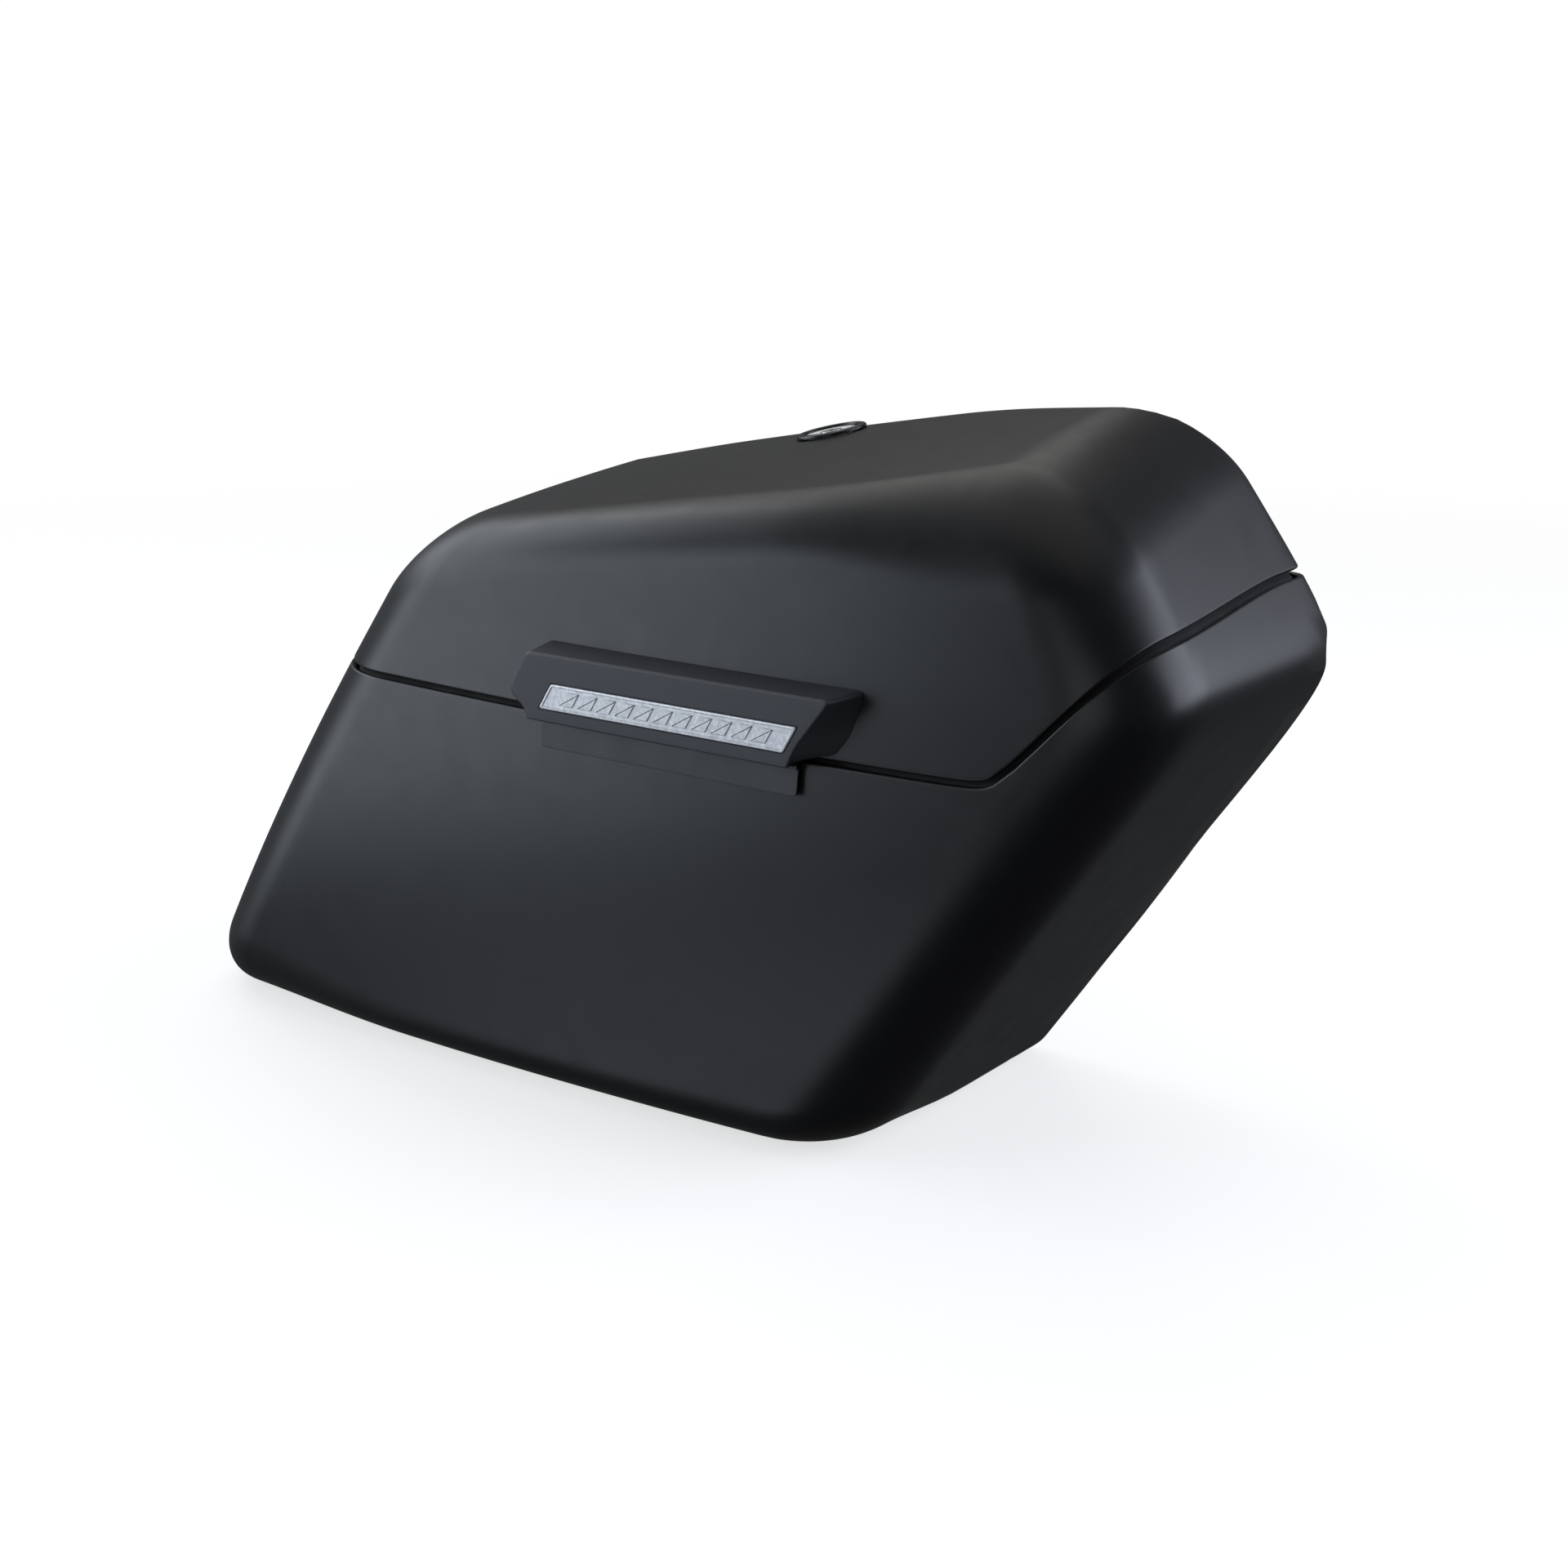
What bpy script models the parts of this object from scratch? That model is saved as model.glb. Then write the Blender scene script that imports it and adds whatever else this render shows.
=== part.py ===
"""Hard motorcycle saddlebag: lower case, hinged lid, push-button lock and mounting hardware.

Units are metres. +X is the rear of the motorcycle, +Y is the side that faces the motorcycle,
-Y is the outer side with the hinge, +Z is up. The bag stands on its flat bottom.
The design frame below is moved by FRAME_SHIFT, so that the whole part is centred on the origin.
"""
import math

import bmesh
import bpy
import numpy as np
from mathutils import Matrix, Vector

FRAME_SHIFT = (0.0099, -0.0045, 0.0)

# Outer form: straight lines and one curve for each face, and the radii between the faces.
FRONT_END_X = -0.338
FRONT_END_RAKE = 0.610
REAR_END_X = 0.143
REAR_END_RAKE = 0.698
REAR_TOP_X = 0.507
REAR_TOP_RAKE = 0.770
REAR_BEND = 0.014
BELLY_Y = -0.108
BELLY_Z = 0.085
BELLY_CURVE = 0.58
BELLY_CROWN = 0.011
CROWN_HALF_LENGTH = 0.25
INNER_Y = 0.109
TOP_Z = 0.3175
TOP_RISE_X = 0.161
TOP_RISE_Y = 0.140
TOP_TWIST = 0.2
TOP_SAG = 0.0033
TOP_CROWN = 0.003
CORNER_REAR = 0.042
CORNER_FRONT = 0.046
CORNER_INNER = 0.014
SHOULDER_OUTER = 0.027
SHOULDER_INNER = 0.014
SHOULDER_REAR = 0.048
SHOULDER_FRONT = 0.033
FOOT_OUTER = 0.021
FOOT_INNER = 0.009
FOOT_FRONT = 0.029
FOOT_FLATNESS = 0.75

# Shells.
WALL = 0.0035
SEAM_GAP = 0.0028
REAR_GAP = 0.0020
REAR_GAP_X = 0.265
RIM_ROUND = 0.0011
SEAM_Z = 0.208
SEAM_CORNER_X = 0.226
SEAM_CORNER_ROUND = 0.007
SEAM_DIAGONAL = 1.12
SEAM_DIAGONAL_TOP = 0.279
SEAM_INNER_Z = 0.250
SEAM_INNER_RISE = 0.125
SEAM_BLEND_Y = 0.085
CLEARANCE = 0.0003
SPINE_COLUMNS = 20
END_COLUMNS = 13
SEAM_SPINE = ((-0.150, 0.0, 0.0), (0.226, 0.0, 0.0))
FOOT_SPINE = ((-0.250, 0.0, 0.0), (0.090, 0.0, 0.0))
FOOT_RING_Z = 0.030
SHOULDER_SPINE = ((-0.125, 0.0, 0.0), (0.185, 0.0, 0.0))
SHOULDER_RING_DROP = 0.030
CASE_SPINE = ((-0.215, 0.0, 0.115), (0.150, 0.0, 0.140))
CASE_POLES = ((-0.240, 0.0, 0.0), (0.090, 0.0, 0.0))
LID_SPINE = ((-0.135, 0.0, 0.232), (0.215, 0.0, 0.262))
LID_POLES = ((-0.120, 0.0, 0.400), (0.185, 0.0, 0.400))
CASE_ROWS = 13
LID_ROWS = 12
FINE_ROWS = 121
TURN_WEIGHT = 1.6

# Seal along the seam: offset into the bag and height along the wall, around its section.
SEAL_SECTION = ((0.0056, -0.0080), (0.0050, -0.0016), (0.0068, 0.0035), (0.0098, 0.0035), (0.0098, -0.0080))

# Hinge.
HINGE_Y = -0.1040
HINGE_Z = 0.2085
KNUCKLE_R = 0.0034
PIN_R = 0.0015
LEAF_X = (-0.034, 0.126)
LEAF_T = 0.0013
KNUCKLES = 5
KNUCKLE_GAP = 0.0006
BASE_LEAF_Z = (0.190, 0.2045)
LID_LEAF_Z = (0.2125, 0.230)
HINGE_SCREW_X = (-0.022, 0.021, 0.071, 0.114)
BASE_SCREW_Z = 0.1935
LID_SCREW_Z = 0.2225

# Hinge cover: left and right edge of each row, on the face and where it meets the lid.
COVER_FACE_Y = -0.1125
COVER_FACE = ((0.2110, -0.040, 0.130), (0.2200, -0.047, 0.133), (0.2410, -0.034, 0.152))
COVER_FOOT = ((0.2112, -0.043, 0.143), (0.2200, -0.051, 0.150), (0.2430, -0.036, 0.157))
COVER_WALL = 0.0025
COVER_LIP_Z = 0.2060
COVER_COLUMNS = 8
COVER_SCREWS = ((-0.040, 0.225), (0.139, 0.225))
PLATE_CORNERS = ((-0.0270, 0.2126), (0.1252, 0.2130), (0.1338, 0.2274), (-0.0178, 0.2270))
PLATE_T = 0.0014
PLATE_POCKET = 0.0012

# Lock and latch.
LOCK_X = 0.0165
LOCK_Y = 0.081
LOCK_HOLE_R = 0.0168
BUTTON_R = 0.0142
PLUG_R = 0.0058
LATCH_PIVOT = (0.0165, 0.0715, 0.2900)
LATCH_OUTLINE = (
    (0.0660, 0.2940), (0.0660, 0.2860), (0.0720, 0.2830), (0.0820, 0.2400), (0.0820, 0.2290), (0.0970, 0.2290),
    (0.0970, 0.2312), (0.0890, 0.2318), (0.0890, 0.2400), (0.0790, 0.2870), (0.0910, 0.3000), (0.0910, 0.3035),
    (0.0835, 0.3035), (0.0720, 0.2960),
)
LATCH_HALF_WIDTH = 0.006
LATCH_PIN_R = 0.002
CHEEK_OFFSET = 0.0105
CHEEK_T = 0.0015
STRIKER_BAR = (0.0165, 0.0925, 0.2340)
STRIKER_SPAN = 0.011
STRIKER_R = 0.002

# Mounting.
MOUNT_LOW = ((-0.110, 0.100), (0.130, 0.100))
MOUNT_HIGH = ((-0.070, 0.185), (0.170, 0.185))
PLATE_MARGIN = 0.018
BACKING_T = 0.0025
WASHER_R = 0.011
WASHER_T = 0.0015
BOLT_R = 0.004
BOLT_OUT = 0.008
SPACER_T = 0.005
SPACER_R = 0.014
BORE = 0.0004

# Floor.
DRAIN = (-0.060, 0.0)
DRAIN_R = 0.0056
MAT_OUTLINE = ((-0.228, -0.056), (0.086, -0.056), (0.096, -0.046), (0.096, 0.062), (0.086, 0.072), (-0.228, 0.072),
               (-0.240, 0.060), (-0.240, -0.044))

BLACK_SHELL = ((0.018, 0.019, 0.021), 0.42, 0.0)
BLACK_COVER = ((0.020, 0.021, 0.024), 0.45, 0.0)
BLACK_STEEL = ((0.022, 0.022, 0.024), 0.40, 0.8)
RUBBER = ((0.012, 0.012, 0.012), 0.85, 0.0)
CAST_SILVER = ((0.60, 0.60, 0.62), 0.42, 0.9)
ZINC = ((0.55, 0.56, 0.57), 0.38, 1.0)


def smooth_step(t):
    """Smooth ramp from 0 to 1."""
    t = np.clip(t, 0.0, 1.0)
    return t * t * (3.0 - 2.0 * t)


def round_corner(a, b, radius):
    """Distance past two faces at once, with their edge rounded."""
    u = np.maximum(a + radius, 0.0)
    v = np.maximum(b + radius, 0.0)
    return np.hypot(u, v) + np.minimum(np.maximum(a + radius, b + radius), 0.0) - radius


def front_end(z):
    """X of the raked front end wall at height z."""
    return FRONT_END_X + FRONT_END_RAKE * z


def rear_end(z):
    """X of the rear end wall: it leans out from the floor and back in above its bend."""
    lower = REAR_END_X + REAR_END_RAKE * z
    upper = REAR_TOP_X - REAR_TOP_RAKE * z
    return 0.5 * (lower + upper) - np.sqrt(0.25 * (lower - upper) ** 2 + REAR_BEND ** 2)


def outer_face(x, z):
    """Y of the bellied outer face."""
    middle = 0.5 * (front_end(z) + rear_end(z))
    crown = BELLY_CROWN * ((x - middle) / CROWN_HALF_LENGTH) ** 2
    return BELLY_Y + BELLY_CURVE * (z - BELLY_Z) ** 2 + crown


def top_face(x, y):
    """Z of the top, which rises to the rear and towards the motorcycle."""
    rise = TOP_RISE_X * x + (TOP_RISE_Y + TOP_TWIST * x) * y
    return TOP_Z + rise - TOP_SAG * ((x - 0.02) / 0.2) ** 2 + TOP_CROWN * (1.0 - (y / 0.11) ** 2)


def form(points):
    """Signed distance past the outer form, near its surface, for an array of points."""
    x, y, z = points[..., 0], points[..., 1], points[..., 2]
    front = (front_end(z) - x) / math.hypot(1.0, FRONT_END_RAKE)
    rear = (x - rear_end(z)) / math.hypot(1.0, REAR_END_RAKE)
    outer = outer_face(x, z) - y
    inner = y - INNER_Y
    outer_corners = np.maximum(round_corner(outer, rear, CORNER_REAR), round_corner(outer, front, CORNER_FRONT))
    inner_corners = np.maximum(round_corner(inner, rear, CORNER_INNER), round_corner(inner, front, CORNER_INNER))
    sides = np.maximum(outer_corners, inner_corners)
    outward = smooth_step((0.02 - y) / 0.08)
    shoulder = SHOULDER_INNER + (SHOULDER_OUTER - SHOULDER_INNER) * outward
    shoulder = shoulder + (SHOULDER_REAR - shoulder) * smooth_step((x - 0.09) / 0.14)
    shoulder = shoulder + (SHOULDER_FRONT - shoulder) * smooth_step((-0.05 - x) / 0.11)
    upper = round_corner(sides, z - top_face(x, y), shoulder)
    foot = FOOT_INNER + (FOOT_OUTER - FOOT_INNER) * outward
    foot = foot + (FOOT_FRONT - foot) * smooth_step((-0.15 - x) / 0.14)
    return round_corner(upper, -z * FOOT_FLATNESS, foot)


def surface_points(origins, directions, reach=0.7, steps=40):
    """Where rays from inside the form meet its surface, by halving."""
    low = np.zeros(directions.shape[:-1])
    high = np.full(directions.shape[:-1], reach)
    for _ in range(steps):
        middle = 0.5 * (low + high)
        inside = form(origins + directions * middle[..., None]) < 0.0
        low = np.where(inside, middle, low)
        high = np.where(inside, high, middle)
    return origins + directions * (0.5 * (low + high))[..., None]


def surface_normals(points, step=0.00005):
    """Outward normals of the form."""
    slopes = [form(points + axis * step) - form(points - axis * step) for axis in np.eye(3)]
    normals = np.stack(slopes, axis=-1)
    return normals / np.linalg.norm(normals, axis=-1, keepdims=True)


def onto_surface(points):
    """Nearby points moved along the normal onto the form."""
    for _ in range(4):
        points = points - surface_normals(points) * form(points)[..., None]
    return points


def seam_height(x, y):
    """Height of the seam: level along the outer face, a diagonal at the rear, sloping on the inner side."""
    rise = SEAM_DIAGONAL * (x - SEAM_CORNER_X)
    outer = SEAM_Z + 0.5 * (rise + np.sqrt(rise ** 2 + SEAM_CORNER_ROUND ** 2))
    over = outer - SEAM_DIAGONAL_TOP
    outer = SEAM_DIAGONAL_TOP + 0.5 * (over - np.sqrt(over ** 2 + SEAM_CORNER_ROUND ** 2))
    inner = SEAM_INNER_Z + SEAM_INNER_RISE * x
    across = smooth_step((y + SEAM_BLEND_Y) / (2.0 * SEAM_BLEND_Y))
    return outer * (1.0 - across) + inner * across


def between(ends, shares):
    """Points on the straight line between two ends."""
    start, end = np.array(ends[0]), np.array(ends[1])
    return start + (end - start) * shares[:, None]


def ring_points(spine, height, shares, angles):
    """Where a ring round the form, at a height for each place, crosses plan directions from its spine."""
    origins = between(spine, shares)
    directions = np.stack([np.cos(angles), np.sin(angles), np.zeros_like(angles)], axis=1)
    low = np.zeros(len(shares))
    high = np.full(len(shares), 0.4)
    for _ in range(40):
        middle = 0.5 * (low + high)
        points = origins + directions * middle[:, None]
        points[:, 2] = height(points[:, 0], points[:, 1])
        inside = form(points) < 0.0
        low = np.where(inside, middle, low)
        high = np.where(inside, high, middle)
    return points


def fan_angles(spine, height, share, middle):
    """Plan directions of an end's columns, closer together round its corners."""
    fine = np.radians(np.linspace(middle - 90.0, middle + 90.0, FINE_ROWS))
    points = ring_points(spine, height, np.full(FINE_ROWS, share), fine)
    travelled = travel(points[:, None, :])[:, 0]
    return np.interp(np.linspace(0.0, 1.0, END_COLUMNS + 2)[1:-1], travelled, fine)


def travel(points):
    """Share travelled along each column of points, counting length and turning."""
    normals = surface_normals(points)
    lengths = np.linalg.norm(np.diff(points, axis=0), axis=-1)
    turns = np.linalg.norm(np.diff(normals, axis=0), axis=-1)
    steps = lengths / lengths.sum(axis=0) + TURN_WEIGHT * turns / turns.sum(axis=0)
    travelled = np.concatenate([np.zeros((1, points.shape[1])), np.cumsum(steps, axis=0)])
    return travelled / travelled[-1]


def ring(spine, height):
    """Share along the spine and point on the form of every column round a ring."""
    shares = np.linspace(0.0, 1.0, SPINE_COLUMNS + 1)
    along = np.concatenate([shares, np.ones(END_COLUMNS), shares[::-1], np.zeros(END_COLUMNS)])
    outward = np.full(SPINE_COLUMNS + 1, math.radians(-90.0))
    rear = fan_angles(spine, height, 1.0, 0.0)
    front = fan_angles(spine, height, 0.0, 180.0)
    angles = np.concatenate([outward, rear, -outward, front])
    return along, ring_points(spine, height, along, angles)


def foot_height(x, y):
    """Height of the ring in the rounding of the foot."""
    return np.full_like(x, FOOT_RING_Z)


def shoulder_height(x, y):
    """Height of the ring below the shoulder of the lid."""
    return top_face(x, y) - SHOULDER_RING_DROP


def seam_loop():
    """Each column's share along the spine, its seam point, the normal there and the direction up the surface."""
    along, points = ring(SEAM_SPINE, seam_height)
    normals = surface_normals(points)
    tangents = np.roll(points, -1, axis=0) - np.roll(points, 1, axis=0)
    rises = unit(np.cross(normals, tangents))
    rises *= np.sign(rises[:, 2:3])
    return along, points, normals, rises


def half_gap(seam, upward):
    """Distance of a rim from the seam: the rim of the case is lower across the rear end."""
    wider = REAR_GAP * smooth_step((seam[:, 0] - REAR_GAP_X) / 0.030)
    return 0.5 * SEAM_GAP + (wider if upward < 0.0 else 0.0 * wider)


def turn_through(waypoints, share):
    """Unit directions part of the way through three waypoints: 0 is the first, 1 the ring, 2 the pole."""
    share = np.broadcast_to(np.reshape(share, (-1, 1)), (len(waypoints[0]), 1))
    later = share > 1.0
    start = np.where(later, waypoints[1], waypoints[0])
    end = np.where(later, waypoints[2], waypoints[1])
    part = share - later
    angle = np.arccos(np.clip(np.sum(start * end, axis=-1), -1.0, 1.0))[:, None]
    return (np.sin((1.0 - part) * angle) * start + np.sin(part * angle) * end) / np.sin(angle)


def row_shares(origins, waypoints, rows):
    """Share of each row in each column: rows lie closer together where the surface turns."""
    fine = np.linspace(0.0, 2.0, 2 * FINE_ROWS - 1)
    points = np.stack([surface_points(origins, turn_through(waypoints, share)) for share in fine])
    travelled = travel(points)
    wanted = np.linspace(0.0, 1.0, rows)
    return np.stack([np.interp(wanted, column, fine) for column in travelled.T], axis=1)


def unit(vectors):
    """Vectors scaled to length 1."""
    return vectors / np.linalg.norm(vectors, axis=-1, keepdims=True)


def shell_mesh(name, upward, spine, turn, poles, rows):
    """One half of the bag as a closed shell: rows from the seam's rim, through a ring, to a line of poles."""
    along, seam, normals, rises = seam_loop()
    side = rises * upward
    origins = between(spine, along)
    gap = half_gap(seam, upward)[:, None]
    rim = seam + side * (gap + RIM_ROUND)
    waypoints = (unit(rim - origins), unit(ring(*turn)[1] - origins), unit(between(poles, along) - origins))
    shares = row_shares(origins, waypoints, rows)
    outer = np.stack([surface_points(origins, turn_through(waypoints, share)) for share in shares])
    inner = outer - surface_normals(outer) * WALL
    edge = seam + side * gap
    outer_edge = edge - normals * RIM_ROUND
    inner_edge = edge - normals * (WALL - RIM_ROUND)
    loops = list(outer[::-1]) + [outer_edge, inner_edge] + list(inner)
    mesh = bmesh.new()
    grid = [[mesh.verts.new(point) for point in loop] for loop in loops]
    count = len(along)
    for lower, higher in zip(grid, grid[1:]):
        for column in range(count):
            after = (column + 1) % count
            mesh.faces.new((lower[column], lower[after], higher[after], higher[column]))
    close_poles(mesh, grid[0])
    close_poles(mesh, grid[-1])
    bmesh.ops.remove_doubles(mesh, verts=mesh.verts, dist=1e-6)
    bmesh.ops.recalc_face_normals(mesh, faces=mesh.faces)
    return finish_mesh(mesh, name)


def close_poles(mesh, loop):
    """Bring the columns of one spine share together in a single pole."""
    last = SPINE_COLUMNS
    for share in range(SPINE_COLUMNS + 1):
        opposite = 2 * SPINE_COLUMNS + 1 + END_COLUMNS - share
        loop[opposite].co = loop[share].co
    for column in range(END_COLUMNS):
        loop[last + 1 + column].co = loop[last].co
        loop[2 * last + 2 + END_COLUMNS + column].co = loop[0].co


def finish_mesh(mesh, name):
    """Turn a bmesh into mesh data."""
    data = bpy.data.meshes.new(name)
    mesh.to_mesh(data)
    mesh.free()
    return data


def clear_scene():
    """Start from an empty scene."""
    for item in list(bpy.data.objects):
        bpy.data.objects.remove(item, do_unlink=True)


def new_collection(name):
    """Collection linked to the scene."""
    collection = bpy.data.collections.new(name)
    bpy.context.scene.collection.children.link(collection)
    return collection


def material(name, finish):
    """Principled material from a colour, a roughness and a metallic value."""
    color, roughness, metallic = finish
    made = bpy.data.materials.new(name)
    made.use_nodes = True
    shader = made.node_tree.nodes["Principled BSDF"]
    shader.inputs["Base Color"].default_value = (*color, 1.0)
    shader.inputs["Roughness"].default_value = roughness
    shader.inputs["Metallic"].default_value = metallic
    return made


def add_frame(name, location, parent=None):
    """Empty at a joint's axis, in design coordinates."""
    empty = bpy.data.objects.new(name, None)
    PARTS.objects.link(empty)
    origin = Vector(location)
    if parent is not None:
        empty.parent = parent
        origin = origin - Vector(parent["design"])
        empty.location = origin
    else:
        empty.location = FRAME_SHIFT
    empty["design"] = location
    return empty


def add_piece(name, data, finish, parent, smooth=True):
    """Named part whose mesh is in design coordinates, moved with its joint's empty."""
    piece = bpy.data.objects.new(name, data)
    PARTS.objects.link(piece)
    piece.data.materials.append(finish)
    piece.parent = parent
    piece.location = -Vector(parent["design"])
    if smooth:
        data.shade_smooth()
        data.set_sharp_from_angle(angle=math.radians(35.0))
    return piece


def add_tool(name, data, parent):
    """Cutter or joined-in solid, in design coordinates."""
    tool = bpy.data.objects.new(name, data)
    TOOLS.objects.link(tool)
    tool.parent = parent
    tool.location = -Vector(parent["design"])
    tool.hide_render = True
    tool.display_type = "WIRE"
    return tool


def combine(piece, data, operation):
    """Boolean of a piece with mesh data in design coordinates."""
    tool = add_tool(f"{piece.name}_{operation.lower()}", data, piece.parent)
    modifier = piece.modifiers.new(operation.lower(), "BOOLEAN")
    modifier.operation = operation
    modifier.solver = "EXACT"
    modifier.object = tool


def bevel(piece, width, segments=1):
    """Rounded edges."""
    modifier = piece.modifiers.new("bevel", "BEVEL")
    modifier.width = width
    modifier.segments = segments
    modifier.limit_method = "ANGLE"
    modifier.angle_limit = math.radians(40.0)


def join_meshes(name, parts):
    """One mesh from several that stay separate solids."""
    whole = bmesh.new()
    for data in parts:
        whole.from_mesh(data)
        bpy.data.meshes.remove(data)
    return finish_mesh(whole, name)


def placed(mesh, place, name):
    """Finish a bmesh at a place with its faces outward."""
    bmesh.ops.transform(mesh, matrix=place, verts=mesh.verts)
    bmesh.ops.recalc_face_normals(mesh, faces=mesh.faces)
    return finish_mesh(mesh, name)


def box_mesh(low, high, name="box", place=None):
    """Box between two corners."""
    low, high = Vector(low), Vector(high)
    mesh = bmesh.new()
    bmesh.ops.create_cube(mesh, size=1.0)
    bmesh.ops.scale(mesh, vec=high - low, verts=mesh.verts)
    bmesh.ops.translate(mesh, vec=0.5 * (high + low), verts=mesh.verts)
    return placed(mesh, place or Matrix.Identity(4), name)


def turned_mesh(profile, place, segments=16, name="turned"):
    """Closed profile of radius and height turned about its axis."""
    mesh = bmesh.new()
    points = [mesh.verts.new((radius, 0.0, height)) for radius, height in profile]
    edges = [mesh.edges.new(pair) for pair in zip(points, points[1:] + points[:1])]
    on_axis = [edge for edge in edges if all(abs(v.co.x) < 1e-9 for v in edge.verts)]
    bmesh.ops.delete(mesh, geom=on_axis, context="EDGES_FACES")
    bmesh.ops.spin(mesh, geom=mesh.verts[:] + mesh.edges[:], cent=(0, 0, 0), axis=(0, 0, 1),
                   angle=2.0 * math.pi, steps=segments, use_merge=True, use_duplicate=False)
    bmesh.ops.remove_doubles(mesh, verts=mesh.verts, dist=1e-6)
    return placed(mesh, place, name)


def rod_mesh(start, end, radius, segments=12, name="rod"):
    """Round rod between two points."""
    start, end = Vector(start), Vector(end)
    mesh = bmesh.new()
    bmesh.ops.create_cone(mesh, cap_ends=True, segments=segments, radius1=radius, radius2=radius,
                          depth=(end - start).length)
    place = Matrix.Translation(0.5 * (start + end)) @ turn_to(end - start)
    return placed(mesh, place, name)


def turn_to(direction):
    """Rotation that takes +Z to a direction."""
    return Vector(direction).to_track_quat("Z", "Y").to_matrix().to_4x4()


def place_at(point, direction):
    """Placement at a point with +Z along a direction."""
    return Matrix.Translation(Vector(point)) @ turn_to(direction)


def outline_mesh(outline, low, high, axis, name="outline"):
    """Flat outline extruded along an axis (0 for X, 1 for Y, 2 for Z) between two levels."""
    mesh = bmesh.new()
    first = []
    for a, b in outline:
        point = [a, b]
        point.insert(axis, low)
        first.append(mesh.verts.new(point))
    face = mesh.faces.new(first)
    grown = bmesh.ops.extrude_face_region(mesh, geom=[face])
    moved = [item for item in grown["geom"] if isinstance(item, bmesh.types.BMVert)]
    step = Vector([high - low if index == axis else 0.0 for index in range(3)])
    bmesh.ops.translate(mesh, vec=step, verts=moved)
    return placed(mesh, Matrix.Identity(4), name)


def screw_mesh(point, direction, head_r, head_h, shank_r, length, segments=12):
    """Pan-head screw: the underside of its head at a point, its shank along a direction."""
    profile = (
        (0.0, -length), (shank_r, -length), (shank_r, 0.0), (head_r, 0.0),
        (head_r, 0.55 * head_h), (0.72 * head_r, head_h), (0.0, head_h),
    )
    return turned_mesh(profile, place_at(point, -Vector(direction)), segments)


def coil_object(name, place, radius, wire, turns, height, finish, parent):
    """Round-wire coil spring."""
    curve = bpy.data.curves.new(name, "CURVE")
    curve.dimensions = "3D"
    curve.bevel_depth = wire
    curve.bevel_resolution = 1
    curve.use_fill_caps = True
    spline = curve.splines.new("POLY")
    count = int(turns * 12) + 1
    spline.points.add(count - 1)
    for index, point in enumerate(spline.points):
        angle = 2.0 * math.pi * index / 12.0
        spot = Vector((radius * math.cos(angle), radius * math.sin(angle), height * index / (count - 1)))
        point.co = (*(place @ spot), 1.0)
    coil = bpy.data.objects.new(name, curve)
    PARTS.objects.link(coil)
    curve.materials.append(finish)
    coil.parent = parent
    coil.location = -Vector(parent["design"])
    return coil


def face_y(x, z):
    """Y of the outer face at one place."""
    return float(outer_face(np.array(x), np.array(z)))


def build_shells(case, lid):
    """Lower case and lid, with the holes for their fasteners, lock and drain."""
    case_mesh = shell_mesh("base_shell", -1.0, CASE_SPINE, (FOOT_SPINE, foot_height), CASE_POLES, CASE_ROWS)
    lid_mesh = shell_mesh("lid_shell", 1.0, LID_SPINE, (SHOULDER_SPINE, shoulder_height), LID_POLES, LID_ROWS)
    base = add_piece("base_shell", case_mesh, SHELL, case)
    bores = [rod_mesh((x, 0.09, z), (x, 0.12, z), BOLT_R + BORE) for x, z in MOUNT_LOW + MOUNT_HIGH]
    bores += [rod_mesh((x, -0.12, BASE_SCREW_Z), (x, -0.08, BASE_SCREW_Z), 0.0019, 8) for x in HINGE_SCREW_X]
    bores += [rod_mesh((x, 0.09, STRIKER_BAR[2]), (x, 0.12, STRIKER_BAR[2]), 0.0019, 8) for x in striker_screw_x()]
    bores.append(rod_mesh((DRAIN[0], DRAIN[1], -0.01), (DRAIN[0], DRAIN[1], 0.01), DRAIN_R + BORE))
    combine(base, join_meshes("base_bores", bores), "DIFFERENCE")
    cover = add_piece("lid_shell", lid_mesh, SHELL, lid)
    point, normal = lock_place()
    holes = [rod_mesh(point - normal * 0.02, point + normal * 0.02, LOCK_HOLE_R, 24)]
    holes += [rod_mesh((x, -0.12, LID_SCREW_Z), (x, -0.07, LID_SCREW_Z), 0.0019, 8) for x in HINGE_SCREW_X]
    holes += [rod_mesh((x, -0.12, z), (x, -0.07, z), 0.0019, 8) for x, z in COVER_SCREWS]
    combine(cover, join_meshes("lid_holes", holes), "DIFFERENCE")


def build_seal(case):
    """Rubber seal that stands inside the rim of the case and reaches into the lid."""
    _, seam, _, rises = seam_loop()
    loops = []
    for inset, height in SEAL_SECTION:
        skin = onto_surface(seam + rises * height)
        loops.append(skin - surface_normals(skin) * inset)
    mesh = bmesh.new()
    grid = [[mesh.verts.new(point) for point in loop] for loop in loops]
    count = len(seam)
    for here, there in zip(grid, grid[1:] + grid[:1]):
        for column in range(count):
            after = (column + 1) % count
            mesh.faces.new((here[column], here[after], there[after], there[column]))
    bmesh.ops.recalc_face_normals(mesh, faces=mesh.faces)
    add_piece("rim_seal", finish_mesh(mesh, "rim_seal"), SOFT, case)


def knuckle_spans():
    """X range of each knuckle along the pin."""
    pitch = (LEAF_X[1] - LEAF_X[0]) / KNUCKLES
    starts = [LEAF_X[0] + pitch * index for index in range(KNUCKLES)]
    return [(start + 0.5 * KNUCKLE_GAP, start + pitch - 0.5 * KNUCKLE_GAP) for start in starts]


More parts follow.
